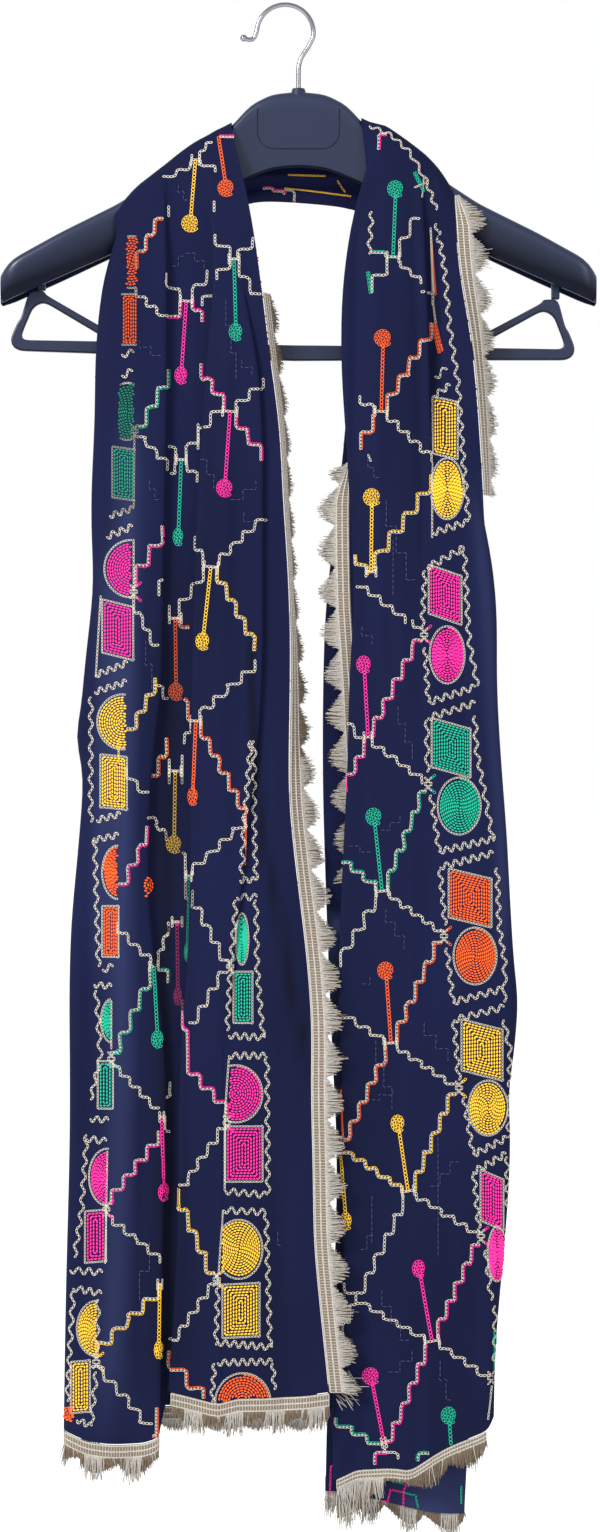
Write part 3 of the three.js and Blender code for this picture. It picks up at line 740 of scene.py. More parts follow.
@dataclass(frozen=True)
class Georgette:
    """Navy georgette: dull, finely crinkled, a little lighter where it catches light."""

    deep: tuple = (9, 13, 38)
    light: tuple = (17, 23, 60)
    # Painted light: the pale colour of stretches painted paler, partly for the white room showing through
    # single see-through layers.
    painted_light: tuple = (58, 67, 108)
    # Painted shade: the near-black that folds and creases are painted towards.
    close: tuple = (3, 4, 11)
    tint: tuple = (120, 130, 200)

    def make(self, grain: bpy.types.NodeTree) -> Material:
        """Builds the material; only what faces the front takes its painted light and painted shade."""
        surface = {"Roughness": 0.82, "Specular IOR Level": 0.1, "Sheen Weight": 0.04}
        sheen = {"Sheen Roughness": 0.4, "Sheen Tint": linear(*self.tint)}
        look = Shader("navy_georgette", surface | sheen)
        crepe = look.add("ShaderNodeGroup", node_tree=grain)
        look.feed(crepe, {"Vector": look.places()})
        shade = look.blend(crepe.outputs["Shade"], linear(*self.deep), linear(*self.light))
        painted_amount = look.times(look.painted_tone(), look.facing("Y", {"From Min": 0.25, "From Max": -0.05}))
        paler = look.blend(painted_amount, shade, linear(*self.painted_light))
        darker = look.blend(look.times(painted_amount, -1), paler, linear(*self.close))
        return look.finished(darker, crepe.outputs["Height"], strength=0.25, distance=0.0004)


@dataclass(frozen=True)
class Yarn:
    """A twisted thread, a little uneven in shade, and painted darker where it is given painted shade."""

    name: str
    colour: tuple
    dark: float = 0.85
    roughness: float = 0.55
    metal: float = 0.0
    # Painted shade: the near-black that shaded stitches go to.
    painted_shade: tuple = (0, 0, 0.003, 1)

    def make(self) -> Material:
        """Builds the material."""
        surface = {"Roughness": self.roughness, "Metallic": self.metal, "Specular IOR Level": 0.4}
        look = Shader(self.name, surface)
        full = linear(*self.colour)
        shaded = (*(c * self.dark for c in full[:3]), 1)
        shade = look.blend(look.noise(look.places(), scale=650), shaded, full)
        return look.finished(look.blend(look.painted_tone(), shade, self.painted_shade))


@dataclass(frozen=True)
class Moulded:
    """Satin moulded plastic with a faint handled grain; where it turns down it is painted darker with weaker
    highlights, as painted shade.
    """

    colour: tuple = (22, 33, 60)
    # Painted shade: the colour where the surface turns down.
    under: tuple = (5, 9, 24)

    def make(self) -> Material:
        """Builds the material."""
        look = Shader("hanger_plastic", {"Roughness": 0.36})
        # Painted shade: darker colour and weaker highlights on what faces down.
        down = look.facing("Z", {"From Min": -0.2, "From Max": 0.04, "To Min": 1, "To Max": 0})
        gloss = look.add("ShaderNodeMath", {0: down, 1: -0.4, 2: 0.5}, operation="MULTIPLY_ADD")
        look.feed(look.surface, {"Specular IOR Level": gloss.outputs["Value"]})
        tone = look.blend(down, linear(*self.colour), linear(*self.under))
        return look.finished(tone, look.noise(look.places(), scale=260), strength=0.06, distance=0.0005)


@dataclass(frozen=True)
class Chrome:
    """Bright plated wire."""

    colour: tuple = (142, 144, 150)

    def make(self) -> Material:
        """Builds the material."""
        return Shader("chrome", {"Roughness": 0.24, "Metallic": 1.0}).finished(linear(*self.colour))


# ---- Hanger ------------


def smoothed(values: Array, rounds: int) -> Array:
    """Values with their corners rounded, the ends kept."""
    made = values.copy()
    for _ in range(rounds):
        made[1:-1] = (made[:-2] + 2 * made[1:-1] + made[2:]) / 4
    return made


@dataclass(frozen=True)
class Hanger:
    """The moulded hanger: a hollow arch of two arms, its trouser bar and its plated hook."""

    wall: float = 2.4
    corner: float = 6.0
    rounds: int = 30
    lean: float = 3.6
    end: float = 222.0
    boss: float = 5.0
    boss_top: float = -58.5
    bar_thick: float = 6.0
    bar_tilt: float = 0.98
    peg: float = 192.0
    wire: float = 1.75

    def arms(self) -> Piece:
        """The arch: upright sides, a rounded top, and a hollow that opens below."""
        end_wall = self.end - self.wall
        ends = np.array([219, end_wall, end_wall + 0.2, 220.6, self.end])
        xs = np.unique(np.concatenate([np.arange(-216, 217, 4.0), ends, -ends]))
        fine = np.arange(-222, 223, 1.0)
        names = ("top", "bottom", "half_depth")
        shape = {name: smoothed(ARM.at(name, abs(fine)), self.rounds) for name in names}
        sweep = np.radians(np.linspace(0, 90, 9))

        def ring(x: float, inset: float) -> list:
            top, bottom, half = (float(np.interp(x, fine, shape[name])) for name in names)
            half, top = half - inset, top - inset
            corner = min(self.corner, half * 0.8)
            if inset and abs(x) > end_wall:
                top = bottom + corner
            ys = half - corner + corner * np.cos(sweep)
            zs = top - corner + corner * np.sin(sweep)
            share = np.linspace(0, 1, 8)[:-1]
            lean = self.lean * float(ease((abs(x) - 55) / 40)) * (1 - share) ** 2
            one = list(zip(half - lean, mix(bottom, zs[0], share))) + list(zip(ys, zs))
            return [(y, z) for y, z in one] + [(-y, z) for y, z in reversed(one)]

        rows = []
        for x in xs:
            outer, inner = ring(x, 0), ring(x, self.wall)
            loop = outer + inner[::-1]
            rows.append([(x, y, z) for y, z in loop + loop[:1]])
        arch = shaped_grid("hanger_arms", np.array(rows, float))
        pick(arch)
        bpy.ops.object.mode_set(mode="EDIT")
        bpy.ops.mesh.select_all(action="SELECT")
        bpy.ops.mesh.remove_doubles(threshold=1e-5)
        bpy.ops.mesh.select_all(action="DESELECT")
        bpy.ops.mesh.select_non_manifold(use_multi_face=False, use_non_contiguous=False, use_verts=False)
        bpy.ops.mesh.fill_holes(sides=0)
        close_edit()
        self.cut_plate(arch)
        pick(arch)
        bpy.ops.object.shade_smooth_by_angle(angle=math.radians(38))
        return arch

    def cut_plate(self, arch: Piece) -> None:
        """Cuts the narrow groove that sets off the blank plate: round below and open above."""
        half, top, bottom, rounding, wide, deep = 31.0, -75.0, -105.0, 13.0, 0.9, 1.0
        turn = np.radians(np.linspace(0, 90, 9))

        def outline(inset: float) -> list:
            side, low, round_off = half - inset, bottom + inset, rounding - inset
            arc = [
                (side - round_off + round_off * math.cos(a), low + round_off - round_off * math.sin(a))
                for a in turn
            ]
            return [(side, top), *arc, *mirrored(arc[::-1]), (-side, top)]

        places = outline(0) + outline(wide)[::-1]
        sheet = {"vertices": len(places), "radius": 1, "fill_type": "NGON"}
        cutter = made_by(bpy.ops.mesh.primitive_circle_add, **sheet)
        front = -float(ARM.at("half_depth", 0))
        for corner, (x, z) in zip(cutter.data.vertices, places):
            corner.co = (x * MM, (front + deep) * MM, z * MM)
        bpy.ops.object.mode_set(mode="EDIT")
        bpy.ops.mesh.select_all(action="SELECT")
        bpy.ops.mesh.extrude_region_move(TRANSFORM_OT_translate={"value": (0, -4 * MM, 0)})
        close_edit()
        cut = arch.modifiers.new("plate", "BOOLEAN")
        cut.operation = "DIFFERENCE"
        cut.solver = "EXACT"
        cut.object = cutter
        apply_modifiers(arch)
        bpy.data.objects.remove(cutter)

    def boss_and_pegs(self) -> list[Piece]:
        """The round boss the hook screws into and the pegs that carry the bar."""
        boss = made_by(
            bpy.ops.mesh.primitive_cone_add,
            vertices=40,
            radius1=(self.boss + 1.5) * MM,
            radius2=(self.boss - 0.4) * MM,
            depth=6 * MM,
            location=(0, 0, (self.boss_top - 3) * MM),
        )
        made = [boss]
        slope = math.sin(math.radians(self.bar_tilt))
        for side in (-1, 1):
            foot = -213 + SEAM - side * self.peg * slope
            height = -180 - foot
            place = (side * self.peg * MM, 0, (foot + height / 2) * MM)
            peg = made_by(bpy.ops.mesh.primitive_cube_add, size=1, location=place)
            peg.scale = (6 * MM, 8 * MM, height * MM)
            settle()
            edge = peg.modifiers.new("edge", "BEVEL")
            edge.width = 0.8 * MM
            edge.segments = 3
            made.append(apply_modifiers(peg))
        pick(boss)
        settle()
        bpy.ops.object.shade_smooth_by_angle(angle=math.radians(40))
        return made

    def bar(self) -> Piece:
        """The trouser bar, flat with a soft edge, and its two end loops."""
        half = [
            (0, -262), (90, -260), (204, -258), (209.5, -255), (211, -249), (206, -237), (203.4, -233.6),
            (201, -225), (197.5, -213), (186.5, -213), (185, -216), (130, -246.5), (118, -249.5),
            (0, -250.5),
        ]
        hole = [(189, -222), (195, -226), (203, -246), (201, -250), (144, -250), (141, -247), (184, -222.5)]
        outlines = [half + mirrored(half[-2:0:-1]), hole, mirrored(hole)]
        curve = bpy.data.curves.new("trouser_bar", "CURVE")
        curve.dimensions = "2D"
        curve.fill_mode = "BOTH"
        bevel = 1.0
        curve.extrude = (self.bar_thick / 2 - bevel) * MM
        curve.bevel_depth = bevel * MM
        curve.bevel_resolution = 3
        curve.offset = -bevel * MM
        for outline in outlines:
            points = np.array(outline, float)
            for _ in range(2):
                after = np.roll(points, -1, axis=0)
                span = np.linalg.norm(after - points, axis=1, keepdims=True)
                cut = np.minimum(0.25, 2.2 / np.maximum(span, 1e-6))
                points = np.stack([mix(points, after, cut), mix(points, after, 1 - cut)], 1).reshape(-1, 2)
            spline = curve.splines.new("POLY")
            spline.points.add(len(points) - 1)
            spline.use_cyclic_u = True
            for point, (x, z) in zip(spline.points, points):
                point.co = (x * MM, z * MM, 0, 1)
        bar = meshed("trouser_bar_soft", curve)
        bar.rotation_euler = (math.pi / 2, math.radians(self.bar_tilt), 0)
        settle()
        bpy.ops.object.shade_smooth_by_angle(angle=math.radians(40))
        return bar

    def hook(self) -> Piece:
        """The plated wire: a straight stem, the bow over the rail, and a curled tip with a ball."""
        centre, bend = (-10.0, -16.8), 21.4
        bow = [
            (centre[0] + bend * math.cos(a), centre[1] + bend * math.sin(a))
            for a in np.radians(-8 + 15.5 * np.arange(13))
        ]
        stem = [(0, -60), (0, -50), (0, -42), (2, -35), (7, -28)]
        curl = [(-33.4, -21.2), (-37, -22), (-41, -20.6)]
        route = np.array([(x, 0, z) for x, z in stem + bow + curl])[:, None, :]
        fine = refine(route, 8, 8, 0)[:, 0]
        curve = bpy.data.curves.new("hook_wire", "CURVE")
        curve.dimensions = "3D"
        curve.bevel_depth = self.wire * MM
        curve.bevel_resolution = 5
        curve.use_fill_caps = True
        spline = curve.splines.new("POLY")
        spline.points.add(len(fine) - 1)
        for point, place in zip(spline.points, fine):
            point.co = (*(place * MM), 1)
        wire = meshed("hook_wire", curve)
        round_tip = {"segments": 28, "ring_count": 18, "radius": 2.6 * MM}
        tip = (curl[-1][0] * MM, 0, curl[-1][1] * MM)
        ball = made_by(bpy.ops.mesh.primitive_uv_sphere_add, location=tip, **round_tip)
        whole = join("hook_wire", [wire, ball])
        pick(whole)
        settle()
        bpy.ops.object.shade_smooth()
        return whole

    def build(self) -> None:
        """Makes the hanger's pieces and dresses them."""
        plastic = Moulded().make()
        body = join("hanger_arms", [self.arms(), *self.boss_and_pegs()])
        dress(body, plastic, "hanger_plastic", "hanger_body")
        dress(self.bar(), plastic, "hanger_plastic", "trouser_bar")
        dress(self.hook(), Chrome().make(), "chrome", "hook")


# ---- Cloth ------------


@dataclass(frozen=True)
class Crease:
    """A soft upright ridge (deep below 0) or trough, in millimetres."""

    top: tuple[float, float]
    foot: tuple[float, float]
    wide: float
    deep: float


CREASE_TAIL = 60.0
FRONT_CREASES = (
    Crease((-118, -250), (-128, -700), 6, -1.6),
    Crease((-124, -560), (-140, -1040), 8, -2.2),
    Crease((-112, -760), (-122, -1050), 6, 2.0),
    Crease((-150, -420), (-156, -900), 5, 1.8),
    Crease((-52, -210), (-56, -520), 5, -1.2),
    Crease((-40, -500), (-62, -900), 7, 1.3),
    Crease((-20, -820), (-12, -1036), 7, 2.4),
    Crease((4, -850), (8, -1036), 5, -1.8),
    Crease((44, -140), (40, -360), 4, 1.8),
    Crease((56, -180), (60, -420), 5, -1.2),
    Crease((84, -130), (92, -360), 4, 1.6),
    Crease((76, -380), (84, -760), 9, -1.4),
    Crease((118, -380), (132, -760), 5, 1.8),
    Crease((128, -560), (140, -960), 6, -1.8),
    Crease((52, -700), (44, -1060), 8, 1.2),
    Crease((104, -860), (96, -1060), 7, -1.2),
)
BACK_CREASES = (
    Crease((-120, -260), (-136, -980), 9, 2.4),
    Crease((-92, -240), (-88, -1020), 8, -2.0),
    Crease((-60, -230), (-48, -1000), 10, 2.2),
    Crease((-34, -300), (-22, -1030), 7, -1.6),
    Crease((58, -240), (48, -1080), 8, 2.0),
    Crease((84, -230), (92, -1100), 9, -2.0),
    Crease((106, -320), (116, -1090), 6, 1.6),
)


@dataclass(frozen=True)
class PaintedTone:
    """A soft upright stretch of the see-through cloth painted paler (shade above 0: painted light) or darker
    (painted shade).

    Its route is set out on the embroidery's chart, from the top down; its width is in millimetres.
    """

    route: tuple
    wide: float
    shade: float
    fade: float = 25.0

    def over(self, points: Array) -> Array:
        """How much each point of a grid is paler or darker."""
        places = np.array([from_chart(*place) for place in self.route])
        z = points[..., 2]
        middle = np.interp(-z, -places[:, 1], places[:, 0])
        ends = ease((places[0, 1] - z) / self.fade) * ease((z - places[-1, 1]) / self.fade)
        return self.shade * np.exp(-(((points[..., 0] - middle) / self.wide) ** 2)) * ends


# Painted light and shade on the cloth. Pale stretches are painted light, partly for the white room showing
# through single see-through layers; behind the right panel they lift a shaded gap and paint a sheen on the
# turned hem. Dark stretches are painted shade in folds and creases, and a broad darkening towards the hem.
PAINTED_TONES = {
    "left_front": (
        PaintedTone(((132, 380), (127, 600), (124, 900), (124, 1060), (119, 1240), (110, 1430)), 11, 0.24, 80),
        PaintedTone(((112, 520), (108, 700), (103, 860), (105, 1000)), 10, 0.2, 60),
        PaintedTone(((178, 520), (168, 700), (166, 1000), (168, 1200), (166, 1420)), 16, -0.3, 60),
        PaintedTone(((176, 600), (169, 700), (166, 1000), (168, 1200), (165, 1420)), 5, -0.3, 60),
        PaintedTone(
            ((250, 620), (254, 760), (262, 840), (276, 900), (290, 990), (303, 1040), (314, 1090)), 3.6, -0.7
        ),
        PaintedTone(((104, 1340), (105, 1390), (105, 1450)), 26, 0.06, 24),
        PaintedTone(((240, 1060), (250, 1440)), 46, -0.16, 60),
    ),
    "right_front": (
        PaintedTone(
            ((472, 450), (486, 590), (490, 650), (493, 720), (500, 800), (504, 880), (506, 980)), 6, 0.2, 60
        ),
        PaintedTone(((430, 1100), (430, 1500)), 80, -0.16, 160),
        PaintedTone(((350, 420), (346, 700), (344, 1000), (346, 1400)), 10, -0.16, 60),
        PaintedTone(((492, 1240), (488, 1330), (480, 1420)), 12, 0.1, 40),
    ),
    "right_back": (
        PaintedTone(((332, 900), (336, 1060), (340, 1250), (342, 1460)), 7, 0.9),
        PaintedTone(((430, 1420), (432, 1540)), 36, 0.34, 8),
    ),
}


def creased(points: Array, creases: tuple, side: float) -> Array:
    """A grid with the listed soft ridges and troughs; side is -1 in front and 1 behind."""
    moved = points.copy()
    x, z = points[..., 0], points[..., 2]
    for crease in creases:
        (top_x, top_z), (foot_x, foot_z) = crease.top, crease.foot
        share = clamp((top_z - z) / (top_z - foot_z))
        middle = mix(top_x, foot_x, share)
        inside = ((z < top_z) & (z > foot_z - CREASE_TAIL)).astype(float)
        hill = np.exp(-(((x - middle) / crease.wide) ** 2))
        moved[..., 1] -= side * crease.deep * hill * (ease(share * 5) * inside)
    return moved


LEFT_SHOULDER = (*LEFT_CREST, 3.6, 7.5)
RIGHT_SHOULDER = (*RIGHT_CREST, 2.4, 6.5)


def shouldered(points: Array, inner: float, outer: float, puff: float, slip: float) -> Array:
    """A grid that goes over the arm from inner to outer, puffed up there and slipping at its outer fold.

    Puff is how far the middle stands up, and slip is how far the outer fold drops.
    """
    moved = points.copy()
    along = (points[..., 0] - inner) / (outer - inner)
    crest = crest_height(points[..., 0])
    close = ease(1 - (crest - points[..., 2]) / 70)
    lift = puff * np.sin(np.pi * clamp(along)) - slip * clamp((along - 0.76) / 0.24) ** 2
    moved[..., 2] += np.where(along > -0.05, close * lift, 0)
    return moved


@dataclass(frozen=True)
class Wave:
    """A place where a panel's outer edge swings out (reach away from the middle) or in."""

    height: float
    tall: float
    reach: float


LEFT_WAVES = (Wave(-544, 20, -3.6), Wave(-432, 34, 2.0))
RIGHT_WAVES = (Wave(-412, 52, 3.4), Wave(-740, 24, 1.8), Wave(-806, 26, -2.8))


def waved(points: Array, waves: tuple, start: float, stop: float) -> Array:
    """A grid whose outer edge swings a little; the swing begins at the x start and is full at stop."""
    moved = points.copy()
    share = ease((points[..., 0] - start) / (stop - start))
    for wave in waves:
        moved[..., 0] += share * wave.reach * np.exp(-(((points[..., 2] - wave.height) / wave.tall) ** 2))
    return moved


def is_near(points: Array, depth: float, side: float) -> Array:
    """Which points of a grid lie on the layer nearest one side."""
    return (points[..., 1] * side > depth * side)[..., None]


@dataclass
class Cloth:
    """The layers of cloth that show, as fine grids and as finished pieces."""

    left_front: Array
    left_back: Array
    right_front: Array
    right_mid: Array
    right_back: Array
    neck_band: Array

    @staticmethod
    def shape() -> "Cloth":
        """Works the grids out from the tables and rounds their folds."""
        left = LEFT_PANEL.grid(range(LEFT_SEAM + 1), PANEL_ROWS)
        back = left_back_grid(left)
        right = RIGHT_PANEL.grid(range(RIGHT_COUNT), PANEL_ROWS)
        heights = np.array([0, 0.04, *(0.09 + 0.91 * np.arange(14) / 13)])
        right_back = layer_grid(RIGHT_BACK, heights, 12, right_back_depth, right_back_hem)
        mid = layer_grid(RIGHT_MID, np.linspace(0, 1, 9), 6, mid_depth, lambda across: -700)

        def fine(points: Array, down: int, across: int, softness: int) -> Array:
            return refine(refine(points, down, softness, 0), across, 3, 1)

        left, right = fine(left, 5, 4, 6), fine(right, 5, 4, 6)
        left_back = fine(back, 5, 4, 6)
        left = np.where(is_near(left, -22, -1), creased(left, FRONT_CREASES, -1), left)
        right = np.where(is_near(right, -20, -1), creased(right, FRONT_CREASES, -1), right)
        left_back = np.where(is_near(left_back, -19, 1), creased(left_back, BACK_CREASES, 1), left_back)
        right_back = creased(fine(right_back, 6, 5, 7), BACK_CREASES, 1)
        left, left_back = (waved(part, LEFT_WAVES, -110, -150) for part in (left, left_back))
        right, right_back = (waved(part, RIGHT_WAVES, 100, 140) for part in (right, right_back))
        left = shouldered(left, *LEFT_SHOULDER)
        right = shouldered(right, *RIGHT_SHOULDER)
        neck = shouldered(fine(neck_grid(), 5, 4, 6), *LEFT_SHOULDER)
        neck = shouldered(neck, *RIGHT_SHOULDER)
        return Cloth(left, left_back, right, fine(mid, 5, 4, 4), right_back, neck)

    def build(self, thickness: float = 0.5) -> dict[str, Piece]:
        """Makes the cloth's pieces."""
        georgette = Georgette().make(crepe_group())
        made = {}
        for node, points in vars(self).items():
            piece = shaped_grid(f"{node}_cloth", points)
            # The painted light and shade of each corner, from the painted stretches.
            shade = sum((tone.over(points) for tone in PAINTED_TONES.get(node, ())), np.zeros(points.shape[:2]))
            paint_tone(piece, shade)
            thicken(piece, thickness)
            dress(piece, georgette, "navy_georgette", node)
            made[node] = piece
        return made

    @staticmethod
    def declare(layers: dict[str, Piece], trimmings: dict[str, list]) -> None:
        """Takes each layer with the lace and stitches it carries, and does nothing with them."""


# ---- Lace ------------

EDGE_LEAN = Table("z lean", [
    (-216, 68), (-300, 74), (-440, 78), (-500, 62), (-545, 50), (-575, 32), (-620, 22), (-690, 12),
    (-740, -4), (-1034, -2),
])
OUTER_LEAN = Table("z lean", [(-150, 4), (-190, 16), (-212, 26), (-262, 46), (-335, 58), (-372, 64)])
FLAT = Table("z lean", [(-1200, 0), (0, 0)])
RIGHT_WAY = np.array([1.0, 0.0, 0.0])
BACK_WAY = np.array([0.0, 1.0, 0.0])
DOWN_WAY = np.array([0.0, 0.0, -1.0])
BUNCH = (0.42, 0.86)
SCALLOP_SKEW, SCALLOP_FULLNESS = 1.55, 0.75
TUCKED_SHARE = 0.85
STRAY_OVER = 0.985
STRAY_COUNT = 34


class Tuft(Enum):
    """Which of the fringe's threads lie silver side up."""

    ALL = "every thread of the front layer"
    TIPS = "a bunch in the middle of each scallop"
    NONE = "only the duller underside shows"


def even_steps(route: Array, step: float) -> Array:
    """Points at even steps along a route."""
    run = running(np.linalg.norm(np.diff(route, axis=0), axis=1))
    count = max(2, int(round(run[-1] / step)))
    at = np.linspace(0, run[-1], count + 1)
    return np.stack([np.interp(at, run, route[:, i]) for i in range(3)], 1)


@dataclass
class Lace:
    """A woven heading of three cords and cross bars with a scalloped fringe.

    The route runs along the cloth's edge; `along` points away from the cloth in its plane.
    """

    name: str
    route: Array
    along: Array
    lean: Table
    gap: float = 0.3
    fringe: float = 12.0
    tuft: Tuft = Tuft.ALL
    phase: float = 0.0
    least: float = 0.06
    sunk: float = 0.0
    long_start: float = 0.0
    long_run: float = 36.0
    tucked_to: float = 0.0
    tapered: bool = False
    underside_shade_lean: float = 42.0
    heading: float = 10.4
    scallop: float = 30.7
    cord: float = 0.78
    step: float = 0.87

    def frames(self, step: float):
        """Places a step apart along the route.

        Returns:
            The places, outward directions, face directions, scallop phases from 0 to 1, and how
            far along the route each place is.
        """
        places = even_steps(self.route, step)
        angle = np.radians(self.lean.at("lean", places[:, 2]))[:, None]
        out = self.along * np.cos(angle) + BACK_WAY * np.sin(angle)
        face = -self.along * np.sin(angle) + BACK_WAY * np.cos(angle)
        base = places + self.along * (self.gap + self.cord * abs(np.sin(angle))) + BACK_WAY * self.sunk
        run = running(np.linalg.norm(np.diff(places, axis=0), axis=1))
        phase = ((run - run[-1]) / self.scallop + self.phase) % 1.0
        return base, out, face, phase, run

    def reach(self, phase: Array, run: Array) -> Array:
        """How long the fringe is at a place in its scallop: slow to rise and quick to fall."""
        swell = np.sin(np.pi * phase**SCALLOP_SKEW) ** SCALLOP_FULLNESS
        whole = self.fringe * (self.least + (1 - self.least) * swell)
        whole = whole + self.long_start * clamp(1 - run / self.long_run) ** 0.6
        tucked = ease((run - self.long_run + 2) / 4) * ease((self.tucked_to - run) / 8)
        whole = whole * (1 - TUCKED_SHARE * tucked)
        return whole * ease(0.1 + run / 9) if self.tapered else whole

    def breadth(self, run: Array) -> Array:
        """How wide the heading is: even, or growing from a narrow start."""
        grown = mix(0.3, 1.0, ease(run / 32)) if self.tapered else np.ones(len(run))
        return self.heading * grown

    def ribbon(self) -> Piece:
        """The woven ground between the cords."""
        base, out, face, _, run = self.frames(self.step)
        across = self.breadth(run)[:, None] * np.linspace(0, 1, 4)
        points = base[:, None] + out[:, None] * across[..., None]
        return thicken(shaped_grid(f"{self.name}_ground", points), 0.5)

    def cords(self) -> list[Piece]:
        """The three plump cords, their twist as beads along them."""
        base, out, face, _, run = self.frames(self.step)
        turn = np.radians(np.linspace(0, 360, 7))
        bead = 1 + 0.2 * np.cos(2 * np.pi * np.arange(len(base)) * self.step / 2.6)
        made = []
        for share in (0.09, 0.5, 0.91):
            middle = base + out * (self.breadth(run) * share)[:, None]
            ring = out[:, None] * np.cos(turn)[None, :, None] + face[:, None] * np.sin(turn)[None, :, None]
            points = middle[:, None] + ring * (self.cord * bead)[:, None, None]
            cord = shaped_grid(f"{self.name}_cord", points)
            pick(cord)
            bpy.ops.object.shade_smooth()
            made.append(cord)
        return made

    def bars(self) -> Piece:
        """The small cross bars between the cords."""
        base, out, face, _, run = self.frames(2.1)
        tube = {"vertices": 4, "radius": 0.5, "depth": 0.86, "end_fill_type": "NOTHING"}
        model = Model.of(made_by(bpy.ops.mesh.primitive_cylinder_add, **tube))
        side = np.cross(out, face)
        wide = self.breadth(run)[:, None]
        places = base + out * wide / 2
        return copies(f"{self.name}_bars", model, places, np.stack([side, face, out * wide], 1))

    def lobes(self) -> Piece:
        """The dense root of the fringe, a little shorter than its threads."""
        base, out, face, phase, run = self.frames(self.step * 1.6)
        across = np.linspace(0, 1, 4)
        reach = (self.breadth(run) - 0.5)[:, None] + (self.reach(phase, run) * 0.82)[:, None] * across
        points = base[:, None] + out[:, None] * reach[..., None] + face[:, None] * 0.15
        return thicken(shaped_grid(f"{self.name}_lobes", points), 0.35)

    def threads(self, layer: int, dice: np.random.Generator):
        """One layer of loose threads: -1 for the front face and 1 for the back.

        Returns:
            The places and frames of the silver threads, then those of the duller ones.
        """
        base, out, face, phase, run = self.frames(0.5)
        count = len(base)
        side = np.cross(out, face)
        sway = np.radians(dice.normal(0, 6, count) + (0.55 - phase) * 14)[:, None]
        lift = np.radians(dice.normal(0, 4, count))[:, None]
        line = out * np.cos(sway) + side * np.sin(sway)
        line = line * np.cos(lift) + face * layer * np.abs(np.sin(lift))
        length = self.reach(phase, run) * dice.uniform(0.8, 1.2, count) + 0.6
        stray = dice.uniform(0, 1, count) > STRAY_OVER
        length = np.where(stray, length * 1.25, length)
        bunch = (phase > BUNCH[0]) & (phase < BUNCH[1])
        if self.tuft is Tuft.TIPS:
            length = np.where(bunch, length * 1.12, length * 0.85)
        thick = dice.uniform(0.32, 0.5, count)[:, None]
        root = base + out * (self.breadth(run) - 0.6)[:, None] + face * (layer * 0.42)
        middle = root + line * (length / 2)[:, None]
        across = np.cross(line, face)
        across /= np.linalg.norm(across, axis=1, keepdims=True)
        frames = np.stack([across * thick, np.cross(across, line) * thick, line * length[:, None]], 1)
        # Past this lean the front threads take the underside's duller colour: partly the underside that
        # shows, partly painted shade on the fringe behind the turned edge.
        edge_on = self.lean.at("lean", base[:, 2]) > self.underside_shade_lean
        silver = {
            Tuft.ALL: ~edge_on,
            Tuft.TIPS: bunch | (dice.uniform(0, 1, count) > 0.9),
            Tuft.NONE: dice.uniform(0, 1, count) > 0.9,
        }[self.tuft]
        silver = silver | ((self.long_start > 0) & (run < self.long_run))
        silver = silver if layer < 0 else np.zeros(count, bool)
        return middle[silver], frames[silver], middle[~silver], frames[~silver]

    def build(self, silver: Material, dull: Material, dice) -> list[Piece]:
        """Makes the strip with its silver threads, and the duller threads beside them."""
        taper = {"vertices": 3, "radius1": 1, "radius2": 0.55, "depth": 1, "end_fill_type": "NOTHING"}
        model = Model.of(made_by(bpy.ops.mesh.primitive_cone_add, **taper))
        parts = [self.threads(layer, dice) for layer in (-1, 1)]
        bright = [np.concatenate([p[i] for p in parts]) for i in (0, 1)]
        plain = [np.concatenate([p[i] for p in parts]) for i in (2, 3)]
        strip = [*self.cords(), self.bars()]
        if len(bright[0]):
            strip.append(copies(f"{self.name}_silver", model, *bright))
        whole = join(f"{self.name}_strip", strip)
        dress(whole, silver, "silver_lace", self.name)
        loose = copies(f"{self.name}_dull", model, *plain)
        under = join(f"{self.name}_fringe", [self.ribbon(), self.lobes(), loose])
        dress(under, dull, "silver_lace")
        return [whole, under]


def stray_threads(silver: Material, dice: np.random.Generator) -> Piece:
    """The loose ends where the edge's lace and the hem's meet at the left panel's corner."""
    taper = {"vertices": 4, "radius1": 1, "radius2": 0.5, "depth": 1}
    model = Model.of(made_by(bpy.ops.mesh.primitive_cone_add, **taper))
    places, frames = [], []
    for _ in range(STRAY_COUNT):
        start = np.array([dice.uniform(27, 37), dice.uniform(-30, -27), dice.uniform(-1036, -1012)])
        turn, length = math.radians(dice.uniform(-75, 10)), dice.uniform(8, 19)
        line = np.array([math.cos(turn), -0.12, math.sin(turn)])
        across = np.cross(line, BACK_WAY)
        thick = dice.uniform(0.3, 0.5)
        places.append(start + line * length / 2)
        frames.append((across * thick, np.cross(across, line) * thick, line * length))
    piece = copies("stray_threads", model, np.array(places), np.array(frames))
    dress(piece, silver, "silver_lace")
    return piece


def edge_between(grid: Array, station: int, top: float, foot: float) -> Array:
    """A grid's own upright edge between two heights."""
    edge = grid[:, station]
    return edge[(edge[:, 2] < top) & (edge[:, 2] > foot)]


